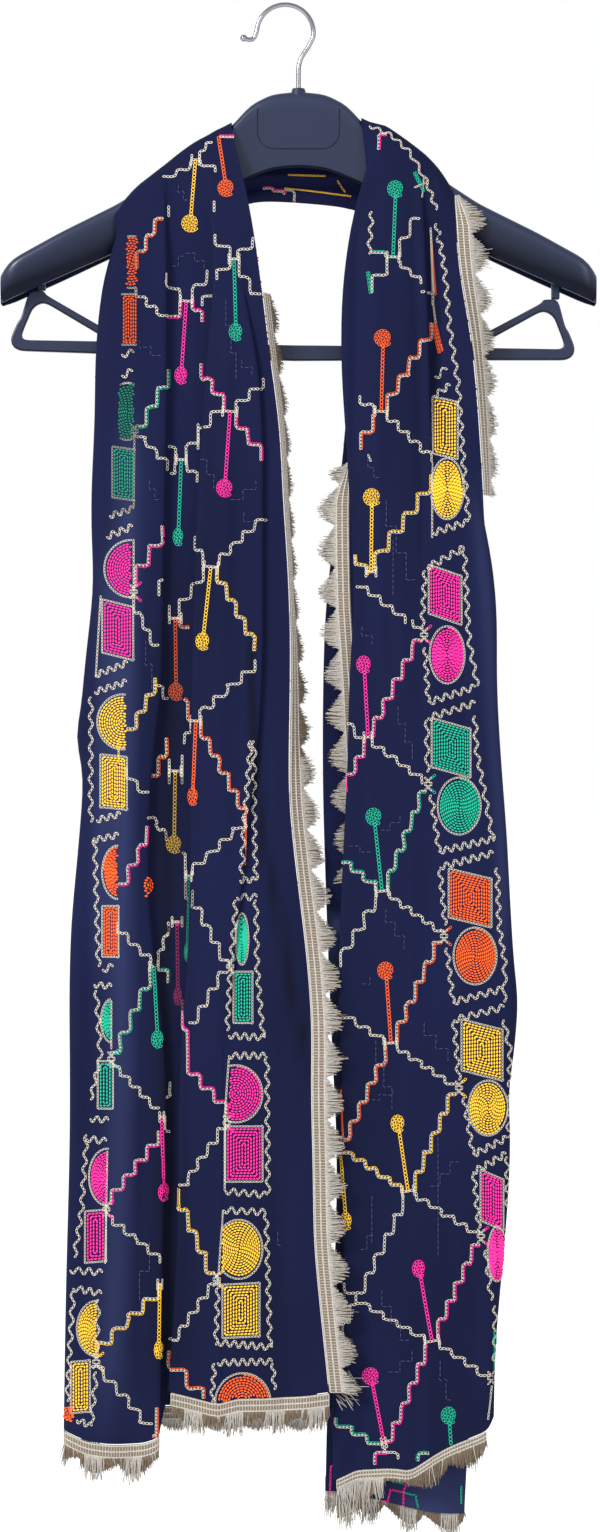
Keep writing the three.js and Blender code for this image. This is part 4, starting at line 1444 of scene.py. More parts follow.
def build_laces(cloth: Cloth) -> dict[str, list[Piece]]:
    """Makes every stretch of lace that shows, listed by the layer that carries it."""
    silver = Yarn("silver_lace", (196, 190, 181), dark=0.45, roughness=0.4, metal=0.1).make()
    dull = Yarn("lace_underside", (124, 107, 88), dark=0.5, roughness=0.6).make()
    dice = np.random.default_rng(7)
    left_edge = edge_between(cloth.left_front, 0, -214, -1033)
    outer_edge = edge_between(cloth.right_front, -1, -139, -374)
    mid_edge = edge_between(cloth.right_mid, 0, -332, -657)
    left_hem, left_back_hem = cloth.left_front[-1], cloth.left_back[-1][:-12]
    right_hem, right_back_hem = cloth.right_front[-1][16 : 4 * (RIGHT_COUNT - 7) + 1], cloth.right_back[-1]
    down = {"along": DOWN_WAY, "lean": FLAT}
    tips = {"tuft": Tuft.TIPS, "least": 0.3, **down}
    tucked = {"least": 0.4, "long_start": 20, "tucked_to": 60, **down}
    laces = [
        Lace("lace_left_edge", left_edge, RIGHT_WAY, EDGE_LEAN, phase=0.6),
        Lace("lace_left_hem_inner", left_hem[0:57], gap=0.6, fringe=14, phase=0.2, **tips),
        Lace("lace_left_hem_outer", left_hem[86:115], gap=0.6, fringe=15, phase=0.5, **tips),
        Lace("lace_left_hem_back", left_back_hem, gap=0.6, fringe=8, **down),
        Lace("lace_right_outer", outer_edge, RIGHT_WAY, OUTER_LEAN, phase=0.4, underside_shade_lean=90, tapered=True),
        Lace("lace_right_mid", mid_edge, -RIGHT_WAY, FLAT, phase=0.6, tapered=True),
        Lace("lace_right_hem_front", right_hem, gap=0.6, heading=7.0, fringe=14, tuft=Tuft.NONE, **tucked),
        Lace("lace_right_hem_back", right_back_hem, gap=-10.6, fringe=16, sunk=2.2, **tips),
    ]
    carriers = {
        "lace_left_hem_back": "left_back",
        "lace_right_mid": "right_mid",
        "lace_right_hem_back": "right_back",
    }
    made: dict[str, list[Piece]] = {}
    for lace in laces:
        carrier = carriers.get(lace.name, "left_front" if "left" in lace.name else "right_front")
        made.setdefault(carrier, []).extend(lace.build(silver, dull, dice))
    made["left_front"].append(stray_threads(silver, dice))
    return made


# ---- Embroidery ------------
# The pattern is set out on the chart: columns count from its left and rows from its top.


class Thread(Enum):
    """The embroidery's threads, named as their material slots."""

    CREAM = "thread_cream"
    PINK = "thread_pink"
    GREEN = "thread_green"
    ORANGE = "thread_orange"
    YELLOW = "thread_yellow"
    GHOST = "thread_behind"


C, P, G, O, Y, H = Thread
THREAD_COLOURS = {
    C: (212, 204, 188),
    P: (255, 40, 160),
    G: (0, 176, 140),
    O: (255, 96, 16),
    Y: (255, 200, 44),
    H: (66, 68, 110),
}

# Stair lines: from, to, how many straight runs, and whether the first runs across (X) or down (Z).
X, Z = "xz"
STAIRS_LEFT = [
    (219, 133, 240, 146, 2, X, P), (199, 156, 212, 139, 4, Z, C), (200, 157, 215, 170, 3, Z, C),
    (190, 159, 162, 174, 4, Z, C), (168, 204, 168, 215, 1, Z, C), (163, 218, 137, 268, 6, X, O),
    (136, 288, 168, 316, 6, Z, C), (166, 273, 180, 301, 3, Z, C), (207, 269, 192, 298, 3, Z, C),
    (180, 301, 167, 316, 2, Z, P), (192, 298, 202, 321, 3, Z, P), (214, 295, 202, 305, 2, X, C),
    (215, 234, 230, 258, 3, Z, C), (253, 237, 238, 260, 3, Z, C), (230, 259, 217, 280, 3, Z, C),
    (239, 260, 261, 294, 4, Z, C), (214, 200, 214, 211, 1, Z, C), (168, 369, 136, 427, 6, Z, G),
    (201, 363, 224, 411, 5, Z, P), (263, 378, 236, 412, 5, Z, C), (136, 437, 167, 470, 6, X, C),
    (168, 446, 175, 459, 2, X, C), (186, 459, 223, 412, 6, Z, C), (198, 423, 200, 449, 1, Z, C),
    (175, 460, 170, 473, 2, Z, C), (186, 459, 197, 482, 3, Z, C), (236, 413, 261, 461, 5, Z, P),
    (162, 526, 136, 586, 5, Z, P), (134, 598, 159, 645, 6, Z, C), (163, 580, 159, 596, 2, X, C),
    (155, 678, 127, 729, 6, Z, Y), (157, 686, 168, 698, 3, X, C), (195, 536, 203, 566, 3, Z, C),
    (219, 566, 267, 520, 8, Z, C), (203, 567, 179, 614, 5, Z, C), (217, 567, 254, 651, 9, Z, Y),
    (169, 605, 169, 617, 1, Z, C), (179, 615, 189, 627, 2, Z, O), (184, 700, 192, 720, 3, X, O),
    (255, 660, 200, 720, 9, Z, C), (191, 721, 184, 744, 3, Z, C), (201, 721, 247, 808, 10, Z, O),
    (127, 767, 149, 792, 4, Z, C), (166, 738, 150, 776, 4, Z, O), (147, 818, 166, 841, 4, X, C),
    (147, 826, 119, 884, 6, Z, P), (118, 922, 151, 965, 7, Z, C), (169, 759, 169, 784, 1, Z, C),
    (182, 755, 182, 784, 1, Z, C), (182, 853, 188, 898, 3, X, C), (158, 965, 168, 922, 5, Z, C),
    (158, 970, 168, 983, 2, X, G), (150, 967, 111, 1052, 8, Z, G), (193, 875, 245, 816, 9, Z, C),
    (193, 890, 229, 960, 8, Z, C), (227, 972, 189, 1022, 7, X, C), (183, 1000, 188, 1059, 3, Z, P),
    (111, 1065, 160, 1107, 9, X, C), (170, 1082, 164, 1097, 2, Z, C), (165, 1115, 170, 1132, 2, Z, C),
    (188, 1059, 227, 1116, 7, Z, P), (227, 1128, 179, 1184, 9, X, C), (159, 1130, 112, 1203, 9, Z, P),
    (113, 1214, 160, 1262, 9, Z, C), (179, 1188, 215, 1272, 8, Z, Y), (218, 1283, 169, 1339, 9, X, C),
    (159, 1283, 97, 1356, 9, Z, Y), (92, 1365, 153, 1422, 9, X, C), (169, 1351, 204, 1404, 5, Z, O),
    (157, 1406, 153, 1434, 2, Z, O),
]
STAIRS_RIGHT = [
    (387, 131, 379, 147, 2, X, P), (371, 252, 386, 257, 2, X, G), (400, 257, 420, 218, 4, Z, C),
    (400, 261, 421, 284, 5, Z, C), (387, 258, 372, 293, 3, Z, C), (421, 292, 433, 304, 2, X, C),
    (360, 396, 374, 414, 3, Z, C), (387, 412, 431, 322, 9, Z, O), (387, 412, 431, 462, 9, Z, C),
    (373, 415, 361, 450, 3, Z, O), (355, 555, 367, 575, 3, Z, Y), (375, 571, 431, 475, 9, Z, Y),
    (356, 587, 405, 624, 8, X, C), (412, 620, 423, 628, 2, Z, C), (422, 641, 373, 737, 10, X, P),
    (346, 710, 362, 738, 4, Z, C), (364, 739, 346, 792, 5, Z, P), (372, 738, 422, 784, 9, Z, C),
    (426, 792, 388, 890, 10, X, G), (339, 853, 376, 891, 7, Z, G), (376, 892, 341, 967, 7, Z, C),
    (389, 891, 444, 931, 10, Z, C), (442, 942, 397, 1042, 10, X, O), (341, 1018, 384, 1045, 6, X, C),
    (385, 1046, 341, 1140, 10, Z, O), (397, 1044, 457, 1084, 10, Z, C),
    (456, 1094, 415, 1191, 10, X, Y), (341, 1153, 402, 1193, 10, X, Y),
    (403, 1195, 356, 1293, 10, Z, C), (416, 1192, 480, 1232, 10, Z, C),
    (480, 1245, 438, 1338, 10, X, P), (356, 1304, 425, 1343, 10, X, C),
    (344, 1283, 356, 1304, 3, Z, C), (356, 1305, 343, 1340, 4, X, C),
    (425, 1344, 385, 1442, 10, Z, P), (439, 1340, 490, 1375, 8, Z, C),
    (336, 1418, 382, 1444, 6, Z, G), (385, 1446, 398, 1459, 3, Z, C), (387, 1453, 375, 1465, 2, X, P),
    (418, 1461, 429, 1453, 2, Z, G),
]
# Pins: the bar's middle, the ball's middle, half the bar, half the ball's width, thread.
PINS = [
    (218, 133, 226, 186, 0, 8.5, O), (195, 157, 190, 221, 4, 9, Y), (186, 300, 181, 374, 6, 6.5, P),
    (234, 259, 236, 332, 5, 7, G), (230, 412, 225, 488, 7, 8.5, P), (181, 459, 178, 536, 5, 5, G),
    (211, 567, 203, 641, 7, 7, Y), (175, 618, 176, 691, 6, 8, O), (196, 721, 193, 796, 5, 5, O),
    (175, 771, 174, 844, 6, 8, Y), (189, 876, 187, 952, 3, 2, G), (177, 922, 178, 996, 5, 4, P),
    (154, 966, 158, 1038, 4, 6, G), (162, 1116, 164, 1191, 2, 5, P), (160, 1283, 159, 1348, 2, 4, Y),
    (393, 257, 396, 187, 6, 8.5, G), (381, 412, 383, 338, 6, 9, O), (371, 572, 372, 497, 5, 9, Y),
    (368, 737, 364, 664, 4, 7.5, P), (382, 891, 374, 816, 6, 8.5, G), (391, 1043, 386, 970, 6, 8.5, O),
    (408, 1191, 398, 1123, 6, 7, Y), (432, 1341, 419, 1268, 7, 6.5, P), (384, 1443, 371, 1376, 2, 9, P),
    (341, 1156, 346, 1221, 0, 6, Y), (451, 1445, 449, 1415, 0, 8, G),
]
# Filled shapes: middle, half width, half height, left cut, right cut, slope of the level edges. The
# smallest ones have no cream line round them.
LEAST_RIMMED = 12
DISCS = [
    (131, 262, 20, 25, 127, 137, 0, O), (128, 412, 20, 27, 119, 134, 0, G),
    (131, 569, 25, 27, 0, 131, 0, P), (123, 722, 24, 26, 0, 126, 0, Y), (118, 872, 14, 25, 0, 118, 0, O),
    (112, 1020, 9, 20, 0, 112, 0, G), (108, 1176, 17, 27, 0, 108, 0, P), (97, 1327, 18, 26, 0, 97, 0, Y),
    (72, 1412, 11, 8, 0, 74, 0, O), (242, 939, 5, 24, 0, 999, 0, G), (236, 1093, 25, 27, 230, 999, 0, P),
    (239, 1248, 22, 28, 222, 999, 0, Y), (243, 1400, 26, 27, 0, 999, 0, O),
    (146, 886, 8, 10, 145, 999, 0, O), (447, 489, 15, 29, 431, 999, 0, Y), (447, 655, 16, 27, 0, 999, 0, P),
    (459, 806, 20, 27, 0, 999, 0, G), (475, 956, 20, 27, 0, 999, 0, O), (488, 1108, 18, 26, 0, 999, 0, Y),
    (497, 1254, 8, 26, 0, 999, 0, P),
]
# Slivers of shapes that are folded away: from, to, how many rows show, thread.
SLIVERS = [
    (415, 170, 424, 190, 2, G), (424, 176, 422, 196, 1, C), (415, 186, 427, 180, 1, C),
    (368, 272, 371, 294, 2, G), (432, 243, 436, 294, 1, O), (431, 226, 434, 292, 1, C),
    (434, 322, 441, 352, 3, O), (433, 300, 436, 322, 1, C), (246, 806, 245, 865, 1, O),
    (495, 1331, 495, 1370, 2, G), (341, 1090, 343, 1138, 1, O), (119, 740, 119, 762, 1, Y),
    (368, 455, 371, 462, 1, C),
]
SQUARES = [
    (130, 320, 7, 24, 123, 137, 0, O), (124, 474, 10, 24, 112, 135, -0.15, G),
    (118, 630, 14, 25, 0, 999, -0.25, P), (114, 782, 12, 25, 0, 999, -0.1, Y),
    (111, 931, 7, 24, 0, 999, 0, O), (106, 1084, 6, 22, 0, 999, 0, G), (96, 1235, 9, 24, 0, 999, 0.1, P),
    (81, 1385, 8, 24, 0, 999, 0.1, Y), (243, 997, 8, 24, 0, 999, 0, G), (244, 1153, 17, 26, 0, 999, 0, P),
    (241, 1309, 17, 25, 0, 999, 0.05, Y), (445, 428, 11, 27, 0, 999, -0.25, Y),
    (445, 595, 15, 23, 0, 999, -0.35, P), (451, 748, 18, 23, 0, 999, -0.28, G),
    (470, 898, 20, 23, 0, 999, -0.24, O), (482, 1050, 19, 24, 0, 999, -0.25, Y),
    (492, 1200, 10, 24, 0, 999, -0.45, P),
]
# Border lines: how they run (long side waves, short end waves or a plain chain), and their corners.
SIDE, END, PLAIN = "side", "end", "plain"
BORDERS = [
    (END, 122, 355, 134, 353), (END, 122, 376, 133, 372), (PLAIN, 135, 430, 134, 508),
    (END, 110, 516, 134, 509), (END, 107, 537, 133, 527), (PLAIN, 134, 540, 134, 598),
    (PLAIN, 101, 596, 96, 677), (END, 96, 675, 128, 663), (END, 95, 692, 127, 682),
    (SIDE, 91, 697, 91, 822), (END, 97, 820, 121, 814), (END, 94, 840, 119, 835), (SIDE, 95, 838, 99, 966),
    (END, 103, 969, 114, 966), (END, 95, 984, 112, 986), (SIDE, 97, 990, 101, 1057, 91, 1099),
    (PLAIN, 112, 1000, 112, 1048), (END, 91, 1118, 109, 1119), (END, 87, 1138, 107, 1140),
    (SIDE, 87, 1134, 82, 1210, 75, 1256), (PLAIN, 108, 1150, 106, 1262), (END, 71, 1269, 103, 1271),
    (END, 74, 1287, 102, 1292), (SIDE, 74, 1290, 71, 1340, 68, 1400), (SIDE, 99, 1298, 97, 1350),
    (SIDE, 97, 1370, 92, 1420), (END, 78, 1418, 92, 1424), (SIDE, 251, 741, 245, 814, 241, 880),
    (SIDE, 254, 741, 254, 822, 256, 880), (END, 240, 880, 255, 880), (END, 237, 897, 257, 897),
    (SIDE, 236, 900, 230, 975, 227, 1030), (SIDE, 256, 900, 257, 965, 263, 1036),
    (END, 229, 1035, 265, 1037), (END, 229, 1055, 265, 1055), (PLAIN, 229, 1058, 225, 1115, 225, 1190),
    (SIDE, 267, 1056, 268, 1192), (END, 226, 1190, 267, 1194), (END, 224, 1209, 265, 1211),
    (PLAIN, 223, 1209, 219, 1272), (SIDE, 219, 1272, 216, 1343), (SIDE, 266, 1212, 270, 1345),
    (END, 219, 1341, 272, 1346), (END, 218, 1361, 272, 1360), (SIDE, 215, 1362, 212, 1400),
    (SIDE, 273, 1362, 274, 1388), (SIDE, 370, 122, 392, 132, 411, 150, 428, 182, 437, 208),
    (SIDE, 372, 211, 369, 254), (SIDE, 437, 222, 445, 275, 449, 324, 458, 386, 463, 460, 468, 520),
    (PLAIN, 431, 226, 433, 290), (END, 435, 376, 447, 370), (END, 434, 395, 450, 386),
    (PLAIN, 432, 462, 432, 538), (END, 433, 533, 468, 522), (END, 427, 568, 464, 548),
    (SIDE, 425, 571, 422, 626), (SIDE, 464, 549, 469, 640, 477, 686), (SIDE, 425, 648, 428, 702),
    (END, 430, 702, 475, 687), (END, 428, 718, 475, 703), (SIDE, 427, 720, 427, 772),
    (SIDE, 475, 716, 476, 748, 484, 792, 493, 841), (SIDE, 431, 795, 439, 852), (END, 440, 851, 493, 839),
    (END, 440, 867, 493, 853), (SIDE, 440, 870, 445, 925), (SIDE, 497, 868, 499, 925, 505, 965, 504, 1002),
    (SIDE, 447, 948, 453, 1003), (END, 454, 1002, 502, 989), (END, 454, 1020, 504, 1007),
    (SIDE, 454, 1022, 459, 1080), (SIDE, 504, 1020, 510, 1052, 508, 1138), (SIDE, 464, 1098, 473, 1154),
    (END, 474, 1154, 507, 1138), (END, 473, 1172, 506, 1154), (SIDE, 474, 1174, 479, 1228),
    (SIDE, 507, 1157, 507, 1214), (SIDE, 486, 1250, 491, 1300), (SIDE, 495, 1306, 494, 1370),
    (PLAIN, 492, 1386, 488, 1420),
]
# Where the lattice meets a border: the middle of a small crossing loop, and its thread.
KNOTS = [
    (424, 635, P), (428, 784, G), (444, 936, O), (459, 1088, Y), (481, 1236, P), (491, 1378, C),
    (135, 432, C), (134, 592, P), (227, 1122, P), (217, 1278, Y), (230, 966, G), (97, 1360, Y),
    (107, 1208, P), (112, 1058, G),
]
# Threads of the layers behind, which show faintly through the cloth.
GHOSTS = [
    (178, 182, 188, 198, 4, Z), (171, 265, 185, 255, 3, X), (185, 252, 204, 268, 4, X),
    (140, 340, 162, 356, 4, Z), (150, 480, 160, 500, 4, Z), (200, 460, 214, 490, 4, X),
    (230, 500, 256, 480, 4, X), (244, 512, 254, 532, 3, Z), (226, 300, 236, 380, 5, Z),
    (242, 360, 252, 376, 3, Z), (146, 640, 152, 690, 3, Z), (368, 458, 380, 478, 4, Z),
    (386, 500, 416, 580, 6, Z), (393, 540, 394, 596, 1, Z), (362, 626, 372, 646, 3, Z),
    (398, 706, 412, 760, 5, Z), (380, 830, 400, 815, 4, X), (348, 846, 372, 852, 3, X),
    (386, 908, 404, 950, 5, Z), (362, 984, 370, 976, 2, X), (366, 1100, 393, 1090, 4, X),
    (376, 1040, 392, 1110, 5, Z), (424, 1022, 448, 1062, 5, Z), (438, 1136, 438, 1256, 1, Z),
    (430, 1186, 460, 1162, 5, X), (372, 1196, 368, 1244, 1, Z), (360, 1250, 374, 1236, 3, X),
    (382, 1290, 410, 1340, 6, Z), (388, 1372, 412, 1350, 4, X), (440, 1360, 452, 1400, 4, Z),
    (150, 1240, 140, 1300, 3, Z), (278, 1230, 282, 1244, 2, Z),
]

# The wrong side of the right back hem: stepped lines, corner by corner.
TURNED_LINES = [
    ([(437, 1462), (434, 1480), (422, 1480), (421, 1490), (407, 1487), (404, 1497), (404, 1511)], P),
    ([(404, 1497), (391, 1494), (388, 1506), (368, 1503)], P),
    ([(405, 1462), (405, 1486)], G),
    ([(392, 1466), (393, 1486), (404, 1488)], G),
    ([(404, 1497), (416, 1500), (419, 1512)], G),
    ([(462, 1490), (462, 1508)], G),
    ([(330, 1500), (331, 1470), (337, 1468), (338, 1476)], P),
]

# Painted shade on motifs that lie under a see-through layer and in its shadow, so they look darker: left,
# top, right and bottom, and how much.
SHADOWS = [
    (118, 225, 141, 352, 0.42), (108, 384, 141, 440, 0.66), (108, 440, 139, 514, 0.48),
    (166, 622, 185, 704, 0.48), (165, 776, 185, 858, 0.56), (168, 926, 188, 1012, 0.82),
    (180, 880, 196, 964, 0.5),
]


def shadow_at(x: Array, z: Array) -> Array:
    """How much painted shade a stitch at a place on the front gets, for the layers over it and their shadow.
    """
    painted_shade = np.zeros(len(x))
    for left, top, right, bottom, share in SHADOWS:
        (low, high), (start, stop) = from_chart(left, top), from_chart(right, bottom)
        painted_shade[(x > low) & (x < start) & (z < high) & (z > stop)] = share
    return painted_shade


def eased(points: Array, cut: float) -> Array:
    """A line with its corners cut twice, as stitches turn them."""
    line = np.array(points, float)
    for _ in range(2):
        ahead, behind = line[1:], line[:-1]
        span = np.maximum(np.linalg.norm(ahead - behind, axis=1, keepdims=True), 1e-6)
        share = np.minimum(0.25, cut / span)
        halves = np.stack([mix(behind, ahead, share), mix(behind, ahead, 1 - share)], 1).reshape(-1, 2)
        line = np.concatenate([line[:1], halves[1:-1], line[-1:]])
    return line


def stair(x0: float, z0: float, x1: float, z1: float, runs: int, first: str) -> list:
    """The corners of a stepped line between two places."""
    across = (runs + 1) // 2 if first == X else runs // 2
    down = runs - across
    corners = [(x0, z0)]
    for run in range(runs):
        x, z = corners[-1]
        level = (run % 2 == 0) == (first == X)
        corners.append((x + (x1 - x0) / max(across, 1), z) if level else (x, z + (z1 - z0) / max(down, 1)))
    return corners


RIM_GAP = 1.1
RIM_STITCH = {"wide": 1.5, "step": 2.2}


@dataclass(frozen=True)
class Pitch:
    """The stitches' sizes: of links, of close filling stitches, and of the rows they lie in."""

    step: float = 2.7
    link: float = 3.3
    wide: float = 2.1
    close: float = 1.9
    row: float = 1.95
    high: float = 2.6


class Hoop:
    """One side of the cloth with the stitches that are worked on it."""

    def __init__(self, name: str, grids: list[Array], side: float, pitch: Pitch = Pitch()):
        """Takes the cloth's grids as the ground.

        Args:
            name: The side's name, which its pieces' names begin with.
            grids: The layers that can be stitched.
            side: -1 where the side faces the front and 1 where it faces the back.
            pitch: The stitches' sizes.
        """
        self.name, self.side, self.pitch = name, side, pitch
        self.facing = 0.2 if side < 0 else 0.55
        corners, faces, start = [], [], 0
        for grid in grids:
            rows, columns = grid.shape[:2]
            corners.extend(map(tuple, grid.reshape(-1, 3)))
            index = start + np.arange(rows * columns).reshape(rows, columns)
            quads = np.stack([index[:-1, :-1], index[:-1, 1:], index[1:, 1:], index[1:, :-1]], -1)
            faces.extend(quads.reshape(-1, 4).tolist())
            start += rows * columns
        self.ground = BVHTree.FromPolygons(corners, faces)
        self.worked: dict[tuple[str, Thread], list] = {}
        self.dice = np.random.default_rng(len(name))

    def chain(self, points, thread, shift=0.0, wide=None, kind="link", step=None, keep=None) -> None:
        """Works a line of stitches.

        Args:
            points: The line's corners, x and z.
            thread: What it is worked in.
            shift: How far it lies beside the line.
            wide: The stitches' width.
            kind: "link" for open chain links, "plump" for close filling stitches.
            step: The distance between stitches.
            keep: A test of x and z that stitches have to pass.
        """
        line = np.array(points, float)
        run = running(np.hypot(*np.diff(line, axis=0).T))
        if run[-1] < 0.5:
            return
        step = step or self.pitch.step
        count = max(1, int(round(run[-1] / step)))
        at = (np.arange(count) + 0.5) * run[-1] / count

        def place(where):
            held = np.clip(where, 0, run[-1])
            return np.stack([np.interp(held, run, line[:, 0]), np.interp(held, run, line[:, 1])], 1)

        heading = place(at + 0.42 * step) - place(at - 0.42 * step)
        heading /= np.maximum(np.linalg.norm(heading, axis=1, keepdims=True), 1e-6)
        middle = place(at) + shift * np.stack([-heading[:, 1], heading[:, 0]], 1)
        long = run[-1] / count * (self.pitch.link / self.pitch.step if kind == "link" else 1.12)
        usual = self.pitch.wide if kind == "link" else self.pitch.close
        rows = self.worked.setdefault((kind, thread), [])
        for (x, z), (ahead_x, ahead_z) in zip(middle, heading):
            if keep is None or keep(x, z):
                rows.append((x, z, ahead_x, ahead_z, long, wide or usual))

    def pair(self, points, thread) -> None:
        """Works a line in cream with a coloured line beside it, or in cream only."""
        line = eased(points, 1.4)
        line[1:-1] += self.dice.normal(0, 0.3, (len(line) - 2, 2))
        if thread is C:
            self.chain(line, C)
            return
        self.chain(line, C, shift=-0.45, wide=1.7)
        self.chain(line, thread, shift=0.75, wide=1.6)

    def wave(self, start, stop, run: str) -> None:
        """Works a border line: waved along a side or an end, or plain."""
        line = np.array([start, stop], float)
        length = float(np.hypot(*(line[1] - line[0])))
        if run == PLAIN:
            self.chain(line, C, wide=1.5)
            return
        wanted, swing = (11.2, 2.1) if run == SIDE else (7.0, 3.1)
        waves = max(1, round(length / wanted))
        ahead = (line[1] - line[0]) / max(length, 1e-6)
        beside = np.array([-ahead[1], ahead[0]])
        corners = [line[0]]
        for half in range(2 * waves):
            way = 1 if half % 2 else -1
            corners.append(line[0] + ahead * length * (half + 0.5) / (2 * waves) + beside * swing * way)
        self.chain(eased([*corners, line[1]], 1.2), C, wide=1.8)

    def disc(self, x, z, half_x, half_z, thread, keep=None, slope=0.0, rim=True, kind="plump") -> None:
        """Fills an oval with a spiral of close stitches and works a cream line round it."""
        turns = max(1.0, max(half_x, half_z) / (self.pitch.row if kind == "plump" else 2.3))
        sweep = np.linspace(0.02, 1, int(turns * 22) + 6)

        def oval(reach_x, reach_z, angle):
            xs = x + reach_x * np.cos(angle)
            return np.stack([xs, z + reach_z * np.sin(angle) - slope * (xs - x)], 1)

        spiral = oval(half_x * sweep, half_z * sweep, 2 * np.pi * turns * sweep)
        self.chain(spiral, thread, kind=kind, keep=keep)
        if rim:
            line = oval(half_x + RIM_GAP, half_z + RIM_GAP, np.linspace(0, 2 * np.pi, 40))
            self.chain(line, C, **RIM_STITCH, keep=keep)

    def square(self, x, z, half_x, half_z, thread, keep=None, slope=0.0, rim=True) -> None:
        """Fills a rectangle with stitches worked round and round, and a cream line round it."""
        rings = max(1, int(round(min(half_x, half_z) / self.pitch.row)))
        for ring in range(rings + 1):
            inset = (ring - 0.55) * min(half_x, half_z) / rings
            wide, tall = half_x - inset, half_z - inset
            if min(wide, tall) < 0.35:
                continue
            corners = [(-wide, tall), (wide, tall), (wide, -tall), (-wide, -tall), (-wide, tall)]
            loop = [(x + u, z + v - slope * u) for u, v in corners]
            if ring == 0:
                if rim:
                    self.chain(loop, C, **RIM_STITCH, keep=keep)
            else:
                self.chain(loop, thread, kind="plump", keep=keep)

    def pin(self, start, stop, half_bar, half_ball, thread) -> None:
        """Works a cream bar, a stem of two rows and a ball at its end."""
        start, stop = np.array(start), np.array(stop)
        reach = float(np.hypot(*(stop - start)))
        ahead = (stop - start) / reach
        foot = stop - ahead * 5
        self.chain([start, foot], thread, wide=2.9 if half_ball > 3 * CHART_SQUARE else 1.9)
        self.disc(*stop, half_ball, 6.6, thread, rim=False, kind="link")
        if half_bar:
            beside = np.array([-ahead[1], ahead[0]]) * half_bar
            self.chain([start - beside, start + beside], C)
            for side in (-1, 1):
                end = start + beside * side
                self.chain([end - ahead * 4, end + ahead * 4], C)

    def knot(self, x, z, thread) -> None:
        """Works the small crossing loop where the lattice meets a border."""
        for way in (-1, 1):
            self.chain([(x - 2.6 * way, z + 5), (x + 2.2 * way, z), (x - 2.6 * way, z - 5)], C, wide=1.6)
        if thread is not C:
            self.chain([(x + 2, z + 4), (x + 5.5, z + 7)], thread)
            self.chain([(x + 2, z - 4), (x + 5.5, z - 7)], thread)

    def finish(self, models: dict[str, Model], looks: dict[Thread, Material]) -> list:
        """Lays every stitch on the cloth and joins the stitches of a thread into one piece."""
        threads: dict[Thread, list[Piece]] = {}
        toward = Vector((0, -self.side, 0))
        for (kind, thread), rows in self.worked.items():
            places, frames = [], []
            for x, z, ahead_x, ahead_z, long, wide in rows:
                hit, normal, _, _ = self.ground.ray_cast(Vector((x, 150 * self.side, z)), toward)
                if hit is None or abs(normal.y) < self.facing:
                    continue
                out = np.array(normal) * (1 if normal.y * self.side > 0 else -1)
                lean = -(ahead_x * out[0] + ahead_z * out[2]) / out[1]
                ahead = np.array([ahead_x, lean, ahead_z])
                beside = np.cross(out, ahead / np.linalg.norm(ahead))
                places.append(np.array(hit) + out * (0.25 + self.pitch.high * 0.1))
                frames.append((ahead * long, beside * wide, out * self.pitch.high))
            if places:
                spots = np.array(places)
                piece = copies(f"{self.name}_{kind}", models[kind], spots, np.array(frames))
                # Front stitches under the layers get painted shade.
                if self.side < 0:
                    paint_tone(piece, np.repeat(shadow_at(spots[:, 0], spots[:, 2]), len(models[kind].corners)))
                threads.setdefault(thread, []).append(piece)
        made = []
        for thread, pieces in threads.items():
            piece = join(f"{self.name}_{thread.value}", pieces)
            dress(piece, looks[thread], "navy_georgette" if thread is H else thread.value)
            made.append(piece)
        return made


def without_underside(model: Model) -> Model:
    """A model with the faces that would lie on the cloth left off."""
    starts = running(model.sides)[:-1]
    kept = []
    for start, sides in zip(starts, model.sides):
        loop = model.loops[start : start + sides]
        first, second, third = model.corners[loop[:3]]
        facing = np.cross(second - first, third - first)
        if facing[2] > -0.3 * np.linalg.norm(facing):
            kept.append(loop)
    used, loops = np.unique(np.concatenate(kept), return_inverse=True)
    return Model(model.corners[used], loops.reshape(-1), np.array([len(loop) for loop in kept]))


def stitch_models() -> dict[str, Model]:
    """The two stitches: an open chain link and a plump close one, each one unit long and wide."""
    loop = {"major_segments": 6, "minor_segments": 3, "major_radius": 0.39, "minor_radius": 0.11}
    link = without_underside(Model.of(made_by(bpy.ops.mesh.primitive_torus_add, **loop)))
    grain = made_by(bpy.ops.mesh.primitive_uv_sphere_add, segments=5, ring_count=3, radius=0.5)
    plump = without_underside(Model.of(grain))
    flat = plump.corners * np.array([1.0, 0.86, 0.5])
    return {"link": link, "plump": Model(flat, plump.loops, plump.sides)}


